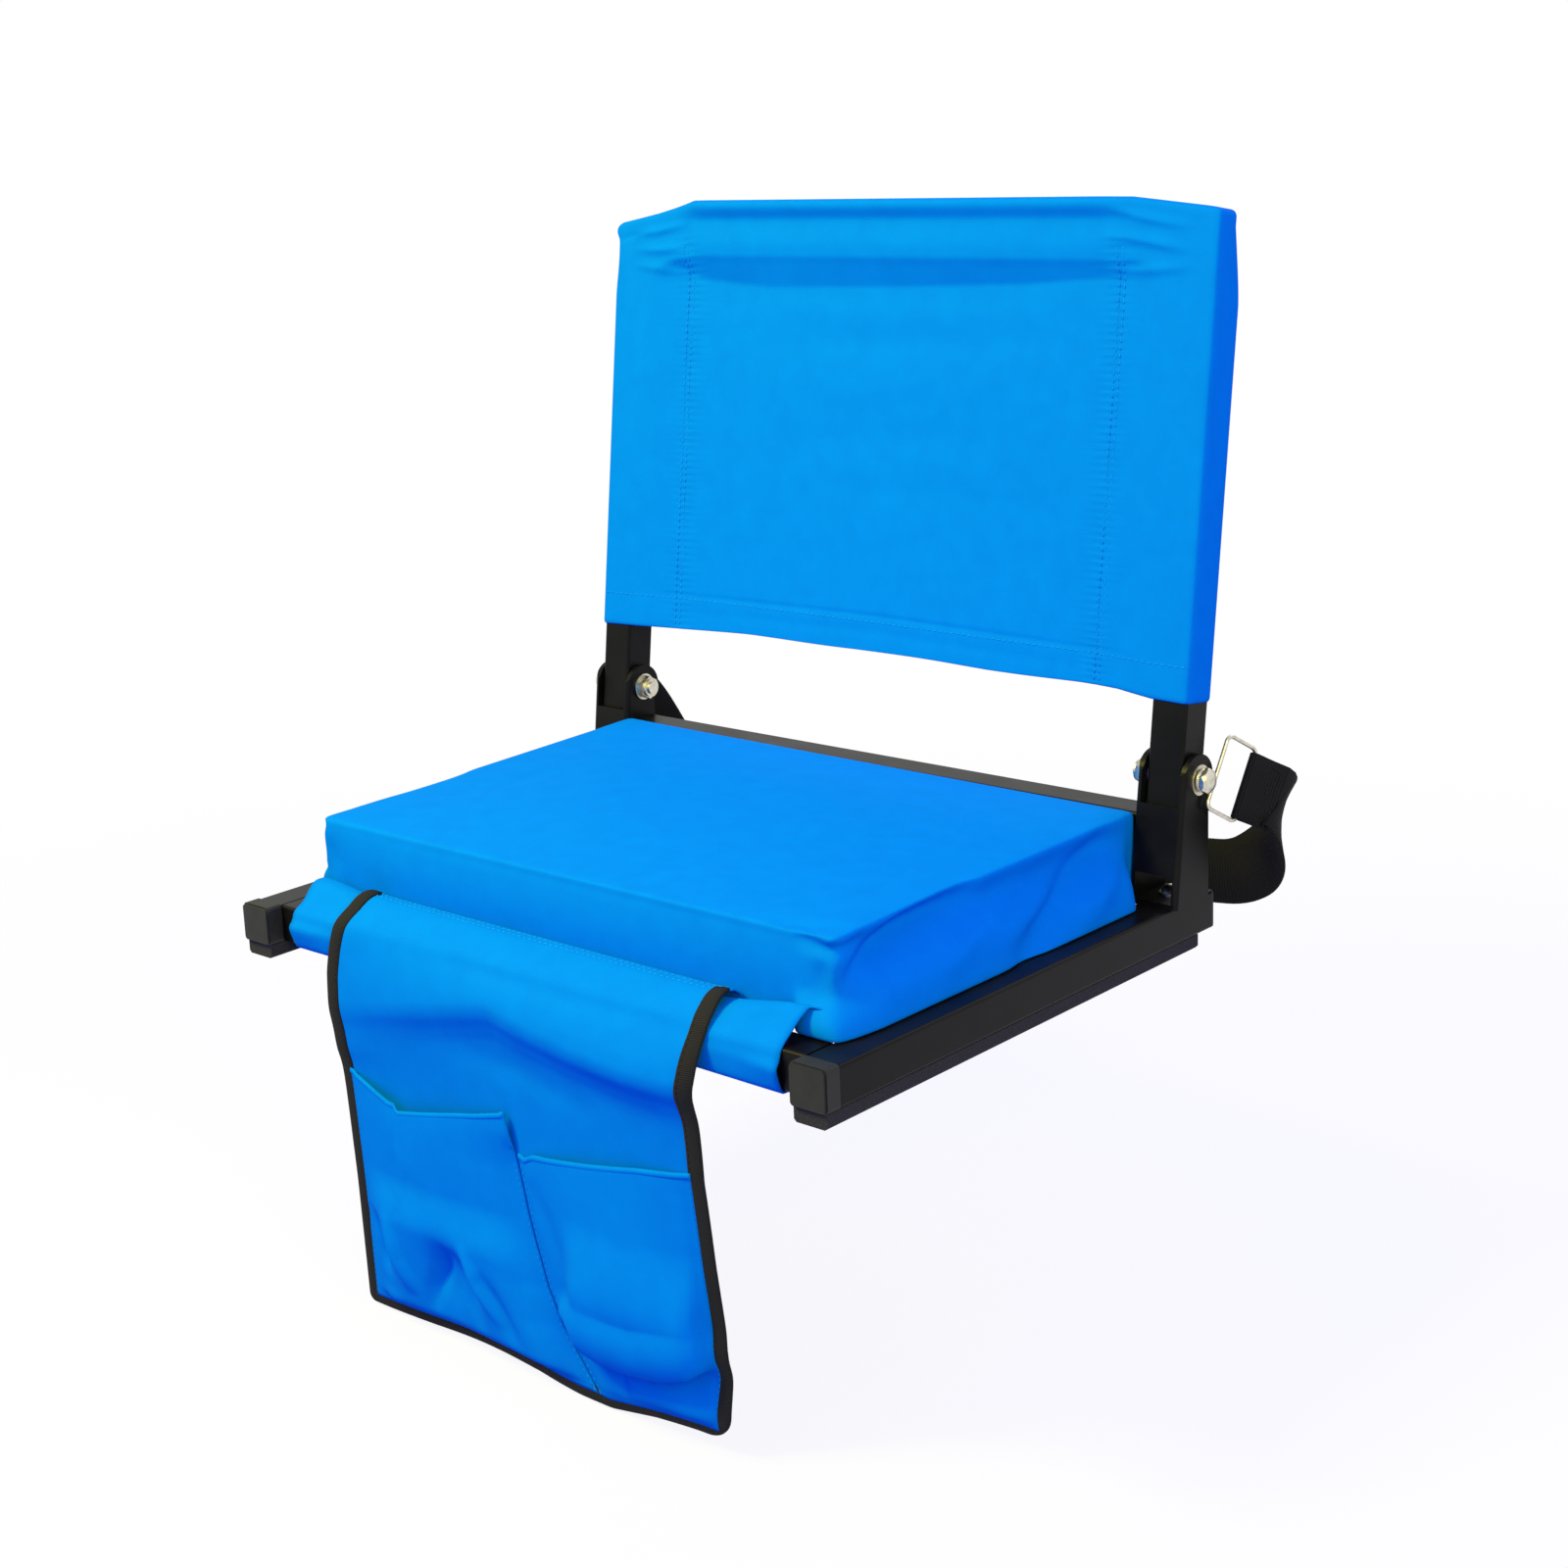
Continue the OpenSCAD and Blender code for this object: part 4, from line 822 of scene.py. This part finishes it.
# %% Flap panel
left_r, right_r = 5.0, 17.0


def corner_in(p, q, half, low, shrink):
    """Draws the cloth's two lower corners in to their radii."""
    radius = np.where(p < 0, left_r, right_r) - shrink
    ip, iq = np.clip(p, -half + radius, half - radius), np.minimum(q, low - radius)
    dp, dq = round_off(p - ip, q - iq)
    return ip + dp, iq + dq


margin = 1.2
panel_p, panel_q = np.meshgrid(
    np.linspace(-half + margin, half - margin, 125 if fine else 80),
    [*np.linspace(0, 42, 12)[:-1], *np.linspace(42, flap_l - margin, 150 if fine else 100)])
panel_p, panel_q = corner_in(panel_p, panel_q, half - margin, flap_l - margin, margin)
panel_points = flap_point(panel_p, panel_q)
seam_q = np.mean([q_at(v, -133.5) for v in (-150, 0, 135)])
panel_points[..., 2] -= 0.55 * bell(panel_q, seam_q, 1.5)
panel = sheet_piece("flap_cloth", panel_points, np.stack([panel_p, panel_q], -1), azure, 0.9)
print("flap panel faces", len(panel.data.polygons))


# %% Tape and rolled edges
def edge_band(name, path, inward, width, thick, material, lift):
    """A band folded over an edge of the flap: path and inward are places on the flat cloth, in millimetres."""
    front = [(width, 0.7), (width - 0.6, 1), (width * 0.45, 1.08), (0.9, 0.92), (0, 0.45)]
    section = front + [(d, -h) for d, h in front[::-1]]
    rings = [off_flap(*(path + inward * d).T, h * thick / 2 + np.broadcast_to(lift, len(path)))
             for d, h in section]
    return band_piece(name, np.stack(rings, axis=1), np.arange(len(section)) * 2.0, run_along(path), material)


def turned(path):
    """The direction to the left of a path on the flat cloth, at each of its points."""
    tangent = unit(np.gradient(path, axis=0))
    return np.column_stack([tangent[:, 1], -tangent[:, 0]])


def arc(p, q, radius, a, b, count):
    return [(p + radius * math.cos(t), q + radius * math.sin(t)) for t in np.linspace(a, b, count)]


# %% Flap binding
left_top, right_top, tape_w = q_at(-148, -131.5), q_at(135, -136.4), 10.0
edge_path = np.array(
    [(-half, q) for q in np.linspace(left_top, flap_l - left_r, 90)[:-1]]
    + arc(-half + left_r, flap_l - left_r, left_r, math.pi, math.pi / 2, 7)
    + [(p, flap_l) for p in np.linspace(-half + left_r, half - right_r, 90)[1:-1]]
    + arc(half - right_r, flap_l - right_r, right_r, math.pi / 2, 0, 11)
    + [(half, q) for q in np.linspace(flap_l - right_r, right_top, 90)[1:]])
near_roll = smooth(right_top + 30, right_top, edge_path[:, 1]) * 0.5
binding = edge_band("flap_binding_tape", edge_path, turned(edge_path), tape_w, 2.3, binding_black, near_roll)
print("binding faces", len(binding.data.polygons), "length", round(run_along(edge_path)[-1]), "mm")

# %% [markdown]
# ## Pockets
# Each pocket is a sheet a little wider than its place, sewn down at the sides and the bottom.
# Its mouth is turned over into a narrow hem and stands away from the panel. Pushing cloth into
# the bottom seam has left deep folds, which are mounds and grooves here.

# %% Pocket lines
mouth_left = [(-150, -55.5), (-135, -59), (-118, -64), (-108.5, -67), (-106.5, -70.6), (-90, -67), (-59, -60.5),
              (-35, -55.8), (-17, -51.8), (-9, -50.5)]
mouth_right = [(-10, -74), (-4, -75), (6, -70.5), (20, -68.6), (62, -62), (95, -56.6), (134, -51)]
seam_line = [(-205, 42), (-186, 29), (-171, 17), (-150, 6.5), (-123, -1), (-110, -4), (-82, -8.5), (-60, -10.5),
             (-48, -13)]
lip = [(24, -160), (42, -166), (60, -169), (94, -166), (114, -161), (134, -153)]
pocket_low, pocket_in = flap_l - 6.0, 8.0
middle_q, middle_z = np.linspace(0, flap_l, samples), flap_curves[1, len(flap_keys) // 2]


def q_of(z):
    """The flat cloth's distance down for a height z below the front tube."""
    return np.interp(z, middle_z[::-1], middle_q[::-1])


def seam_p(q):
    """The place across the flat cloth of the seam between the pockets, at q down the cloth."""
    z = np.interp(q, middle_q, middle_z)
    left, right = along(z, left_edge), along(z, right_edge)
    return (along(z, seam_line) - left) / (right - left) * flap_w - half


# %% Pockets
def bag(s, t, mouth, power, belly):
    """A pocket's plain fullness: how far it stands open at its mouth, and swells below it."""
    return (mouth * np.sin(np.pi * s) ** 0.7 * (1 - t) ** power
            + belly * np.sin(np.pi * s) ** 0.6 * np.sin(np.pi * np.clip(t, 0, 1)) ** 0.6)


def left_fullness(x, z, s, t):
    """How far the left pocket stands off the panel."""
    pleat = crease(x, z, 2.2, 4, [(-106, -62), (-106, -90), (-110, -120)], 0.3) * smooth(-110, -104, x)
    low_roll = 7.0 * smooth(-112, -140, z) * smooth(0, 0.2, s) * smooth(1, 0.8, s) * smooth(-206, -190, z)
    return bag(s, t, 7.0, 0.7, 5.0) + (
        low_roll - mound(x, z, (-70, -162), 7.0, 17, 20) + mound(x, z, (-124, -195), 2.2, 9, 7) - pleat + creases(
            x, z, (-5, 5, [(-66, -142), (-84, -176), (-90, -196)]), (-4.5, 6, [(-64, -142), (-52, -166), (-44, -190)]),
            (4.6, 4.6, [(-117, -136), (-111, -162), (-102, -184)]),
            (-5, 5.5, [(-132, -138), (-128, -158), (-124, -180)]), (4.6, 4.2, [(-52, -136), (-41, -158), (-24, -182)]),
            (-3.6, 6, [(-40, -150), (-26, -170), (-12, -192)]),
            (1.2, 3.5, [(-107, -72), (-104, -100), (-104, -132)], 0.6)))


def right_fullness(x, z, s, t):
    """How far the right pocket stands off the panel."""
    overhang = 11.0 * smooth(-96, -140, z) * smooth(-4, 4, z - along(x, lip)) * smooth(24, 44, x) * smooth(134, 112, x)
    return bag(s, t, 5.0, 0.8, 4.0) + (
        mound(x, z, (78, -108), 3.5, 34, 26) + mound(x, z, (27, -157), 4.6, 10, 7) + overhang
        + mound(x, z, (100, -190), 2.6, 26, 8) + creases(
            x, z, (-3, 4.5, [(30, -169), (56, -175), (94, -172), (130, -163)], 0.5),
            (-4.5, 4, [(34, -164), (48, -178), (66, -196)]), (-1.6, 7, [(4, -84), (16, -112), (24, -138)])))


def pocket_piece(name, start_p, end_p, mouth, fullness, free):
    """A pocket between two lines on the flat cloth, with its mouth at the given (place, height) pairs.
    Its right side is sewn only below the height free, and stands away with a hem above it."""
    columns, rows = (69, 81) if fine else (45, 49)
    s, t = np.meshgrid(np.linspace(0, 1, columns), np.linspace(0, 1, rows))
    top = np.broadcast_to(q_of(along(mouth[0][0] + (mouth[-1][0] - mouth[0][0]) * s[0], mouth)), s.shape)
    q = top + (pocket_low - top) * t
    p = start_p(q) + (end_p(q) - start_p(q)) * s
    there = flap_point(p, q)
    loose = smooth(free - 14, free + 12, there[..., 2])
    sewn = smooth(0, 0.05, s) * np.maximum(smooth(1, 0.95, s), loose) * smooth(1, 0.95, t)
    rise = np.maximum(fullness(there[..., 0], there[..., 2], s, t), 0.0)
    lift = 1.0 + (rise + 3.0 * loose * smooth(0.7, 1.0, s)) * sewn
    points = off_flap(p, q, lift)
    piece = sheet_piece(name + "_cloth", points, np.stack([p, q], -1), azure, 0.8)
    path = np.column_stack([p[0], q[0]])
    hems = [edge_band(name + "_hem", path, np.array([0, 1]), 3.2, 2.3, azure, lift[0])]
    side = there[:, -1, 2] > free
    if side.sum() > 3:
        path = np.column_stack([p[:, -1], q[:, -1]])[side]
        hems.append(edge_band(name + "_edge", path, np.array([-1, 0]), 2.6, 2.1, azure, lift[side, -1]))
    cut = [float(np.linalg.norm(np.diff(points, axis=k), axis=2).sum(k).mean()) for k in (1, 0)]
    print(name, "cut", round(cut[0]), "x", round(cut[1]), "mm")
    return piece, hems, (cut[0] * MM, cut[1] * MM)


pockets = {
    "left_pocket": pocket_piece("left_pocket", lambda q: q * 0 - half + pocket_in, lambda q: seam_p(q) - 1.0,
                                mouth_left, left_fullness, -73.0),
    "right_pocket": pocket_piece("right_pocket", lambda q: seam_p(q) + 1.0, lambda q: q * 0 + half - pocket_in,
                                 mouth_right, right_fullness, 100.0)}

# %% [markdown]
# ## The carry strap
# Polypropylene webbing, doubled round each wire ring and stitched to itself. It leaves the
# rings outwards, curls back and runs on edge behind the seat.

# %% Carry strap line
ring_tilt, ring_lean, leave = math.radians(33), math.radians(15), math.radians(20)
strap_w, strap_t, wire_d, bend_at = 38.0, 1.6, 2.4, 8.0


def ring_way(v):
    """A direction given along the hanging ring, in the frame's axes."""
    x = v[0] * math.cos(ring_lean) + v[1] * math.sin(ring_lean)
    y = v[1] * math.cos(ring_lean) - v[0] * math.sin(ring_lean)
    return np.array([x, y * math.cos(ring_tilt) + v[2] * math.sin(ring_tilt),
                     v[2] * math.cos(ring_tilt) - y * math.sin(ring_tilt)])


def bezier(a, b, c, d, count):
    """Points on a curve from a to d that leaves towards b and arrives from c."""
    t = np.linspace(0, 1, count)[:, None]
    return (1 - t) ** 3 * a + 3 * (1 - t) ** 2 * t * b + 3 * (1 - t) * t ** 2 * c + t ** 3 * d


leg = np.array([226.9, pin[1] + bend_at * math.cos(ring_tilt), pin[2] - bend_at * math.sin(ring_tilt)]) \
    + ring_way((0, 10 - bend_at + 23.5, 9.5))
leg_way = ring_way((0, 0, 1))
out_way = ring_way((math.sin(leave), math.cos(leave), 0))
side_way = ring_way((math.cos(leave), -math.sin(leave), 0))
wrap_r, lap = wire_d / 2 + 0.3 + strap_t / 2, strap_t / 2 + 0.15
far_leg = [(3.5, lap + 1), (5.5, lap + 0.6), (8, lap + 0.3), (12, lap), (16, lap), (19, lap)]
wrap = [(d, -o) for d, o in far_leg[::-1]]
wrap += [(wrap_r * math.cos(math.radians(a)), wrap_r * math.sin(math.radians(a))) for a in range(-70, -291, -20)]
first = np.array([leg + d * out_way + o * side_way for d, o in wrap + far_leg])
run_start = leg + 20 * out_way + lap * side_way
turn_at, turn_way = np.array([202.0, pin[1] + 62, strap_w / 2 + 8]), np.array([1, 0.05, 0.1])
mid_span = np.array([0, pin[1] + 57, strap_w / 2 + 1])
half_line = np.vstack([
    first, bezier(run_start, run_start + 5 * out_way, turn_at + 36 * turn_way, turn_at, 34),
    bezier(turn_at, turn_at - 50 * turn_way, mid_span + [60, 0, 0], mid_span, 42)[1:]])

# %% Carry strap
way = unit(np.gradient(half_line, axis=0))
way[-1] = (-1, 0, 0)
up = unit(np.array([0, 0, 1.0]) - way[:, 2:3] * way)
blend_in = np.clip((np.arange(len(half_line)) - len(first)) / 26.0, 0, 1)[:, None]
width_way = leg_way * (1 - blend_in) + up * blend_in
width_way = unit(width_way - np.sum(width_way * way, axis=1, keepdims=True) * way)
face_way = np.cross(way, width_way)
one_face = [(-1, -0.6), (-0.985, -1), (-0.5, -1), (0, -1), (0.5, -1), (0.985, -1), (1, -0.6)]
strap_section = np.array(one_face + [(-a, -b) for a, b in one_face]) / 2 * [strap_w, strap_t]
half_rings = np.stack([half_line + width_way * a + face_way * b for a, b in strap_section], axis=1)
mirror = np.array([-1, 1, 1])
run = run_along(np.vstack([half_line, half_line[-2::-1] * mirror]))
strap = band_piece("carry_strap_webbing", np.concatenate([half_rings, half_rings[-2::-1] * mirror]),
                   strap_section[:, 0], run, webbing_black)
print("webbing length", round(run[-1]), "mm")

# %% Hook strips
(hook_x, hook_y, hook_z), (far_x, far_y, far_z) = box_mm("hook_strips")
hook_w = 25.0
hook_points, hook_faces, hook_uv, _ = box_shell(
    [spaced(hook_x, far_x, 6), spaced(hook_y, hook_y + hook_w, 6), np.array([hook_z, far_z])], 0.3)
far_points = hook_points + [0, far_y - hook_y - hook_w, 0]
hooks = mesh_piece("hook_strips_tape", np.vstack([hook_points, far_points]),
                   hook_faces + [[k + len(hook_points) for k in f] for f in hook_faces],
                   np.concatenate([hook_uv, hook_uv]), hook_black)
print("hook strips", hook_w, "mm wide")

# %% [markdown]
# ## Stitches
# A seam is hundreds of equal stitches along a line, which is what Geometry Nodes are good at.
# The tree takes plain lines, spaces points along them, and sets one small rounded thread on
# each point, turned along the line. Pitch, stitch length and thread size are named inputs.

# %% Stitch tree
def stitch_tree(name, material):
    """The tree, and the names that a modifier gives its three sizes."""
    tree = bpy.data.node_groups.new(name, "GeometryNodeTree")
    tree.interface.new_socket("Lines", in_out="INPUT", socket_type="NodeSocketGeometry")
    sizes = [tree.interface.new_socket(label, in_out="INPUT", socket_type="NodeSocketFloat").identifier
             for label in ("Pitch", "Stitch", "Thread")]
    tree.interface.new_socket("Threads", in_out="OUTPUT", socket_type="NodeSocketGeometry")
    given = add(tree, "NodeGroupInput")
    curve = add(tree, "GeometryNodeMeshToCurve", {"Mesh": given["Lines"]})[0]
    points = add(tree, "GeometryNodeResampleCurve", {"Curve": curve, "Length": given["Pitch"]}, mode="LENGTH")
    tangent = add(tree, "GeometryNodeInputTangent")[0]
    turn = add(tree, "FunctionNodeAlignRotationToVector", {"Vector": tangent}, axis="Z")[0]
    thread = add(tree, "GeometryNodeMeshUVSphere", {"Segments": 6, "Rings": 5, "Radius": 0.5})[0]
    uneven = add(tree, "FunctionNodeRandomValue", {"Min": 0.88, "Max": 1.0, "Seed": 7}, data_type="FLOAT")
    long = maths(tree, "MULTIPLY", given["Stitch"], uneven[1])
    size = add(tree, "ShaderNodeCombineXYZ", {"X": given["Thread"], "Y": given["Thread"], "Z": long})[0]
    set_on = add(tree, "GeometryNodeInstanceOnPoints", {
        "Points": points[0], "Instance": thread, "Rotation": turn, "Scale": size})[0]
    real = add(tree, "GeometryNodeRealizeInstances", {"Geometry": set_on})[0]
    done = add(tree, "GeometryNodeSetMaterial", {"Geometry": real, "Material": material})[0]
    add(tree, "NodeGroupOutput", {"Threads": done})
    return tree, sizes


def stitches(name, lines, material, *lengths):
    """One plain mesh with a thread at every pitch along each line of points. The lengths are the
    pitch, the stitch and the thread, in millimetres."""
    ends = np.cumsum([len(row) for row in lines])
    edges = [(k, k + 1) for k in range(ends[-1] - 1) if k + 1 not in ends]
    mesh = bpy.data.meshes.new(name + "_lines")
    mesh.from_pydata((np.vstack(lines) * MM).tolist(), edges, [])
    piece = put(name, mesh)
    sewing = piece.modifiers.new("sewing", "NODES")
    sewing.node_group, sizes = stitch_tree(name, material)
    for socket, length in zip(sizes, lengths):
        sewing[socket] = length * MM
    baked(piece).data.shade_smooth()
    print(name, len(piece.data.polygons), "faces")
    return piece


# %% Stitch lines
def on_cover(x, u, front):
    """A line on the cover, a little proud of its cloth."""
    x, u = np.broadcast_arrays(np.asarray(x, float), np.asarray(u, float))
    y = cover_front(x, u) - 0.1 if front else cover_back(x, u) + 0.1
    x, u = cover_shift(x, u)
    return from_back(x, y, u)


def on_strap(d, w, face, mirror):
    """A point on the doubled webbing: d from the ring, w across its width, on one face (1 or -1)."""
    return (leg + d * out_way + w * leg_way + face * (lap + strap_t / 2 + 0.1) * side_way) * mirror


rise_u, wide_x = np.arange(44, 283, 1.5), np.linspace(-217, 217, 200)
cover_stitches = stitches("back_cover_stitches", [
    *[on_cover(side * at, rise_u, front) for side in (-1, 1) for at in (158.2, 161.8) for front in (True, False)],
    on_cover(wide_x, 60.6, True), on_cover(wide_x, 60.6, False)], azure_thread, cover_pitch, 3.0, 0.75)

tape_line = edge_path + turned(edge_path) * (tape_w - 1.6)
binding_stitches = stitches("binding_stitches", [off_flap(*tape_line.T, 1.25)], black_thread, 3.6, 2.5, 0.55)
seam_qs = np.linspace(q_of(-78), q_of(-200), 90)
flap_stitches = stitches("pocket_stitches", [off_flap(seam_p(seam_qs) + side, seam_qs, 1.6) for side in (-2.4, 2.4)],
                         azure_thread, 3.8, 2.7, 0.6)
cross_p = np.linspace(-half + 6, half - 6, 160)
seat_stitches = stitches("flap_top_stitches", [off_flap(cross_p, seam_q + down, 0.45) for down in (-1.6, 2.2)],
                         azure_thread, 4.0, 2.9, 0.65)

box_corners = [(7, -15), (17, -15), (17, 15), (7, 15), (7, -15), (17, 15), (17, -15), (7, 15)]
strap_stitches = stitches("strap_stitches", [
    np.vstack([np.linspace(on_strap(*a, face, mirrored), on_strap(*b, face, mirrored), 12)[:-1]
               for a, b in zip(box_corners[:-1], box_corners[1:])])
    for mirrored in (mirror, 1) for face in (-1, 1)], black_thread, 3.2, 2.4, 0.7)

# %% [markdown]
# ## Riding on the frame
# Most new pieces move with the CAD body that carries them. The flap bends between the seat and
# its hanging panel; the panel, its binding and the binding's stitches stay where they are made.

# %% Ride
for piece, node, body, slot in (
        (cover, "back_cover", "backrest", "back_cloth"), (sling, "seat_sling", "seat_base", "sling_cloth"),
        (cushion, "seat_cushion", "seat_base", "cushion_cloth"), (strap, "carry_strap", "carry_sling", "webbing"),
        (hooks, "hook_strips", "seat_base", "hook_tape"), (cover_stitches, None, "backrest", "back_cloth"),
        (flap_stitches, None, "pocket_flap", "flap_cloth"), (seat_stitches, None, "seat_base", "flap_cloth"),
        (strap_stitches, None, "carry_sling", "webbing")):
    if node:
        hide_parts(node)
    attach(piece, body)
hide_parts("flap_panel", "flap_tuck")
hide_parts("flap_binding")
for piece, slot in ((panel, "flap_cloth"), (binding, "binding_tape"), (binding_stitches, "binding_tape")):
    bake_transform(piece)
for node, (cloth, hems, cut) in pockets.items():
    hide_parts(node)
    for piece in (cloth, *hems):
        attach(piece, "pocket_flap")

# %% Colour management
bpy.context.scene.view_settings.view_transform = "Standard"
print("CAD box", [round(v, 4) for v in (*cad_low, *cad_high)])
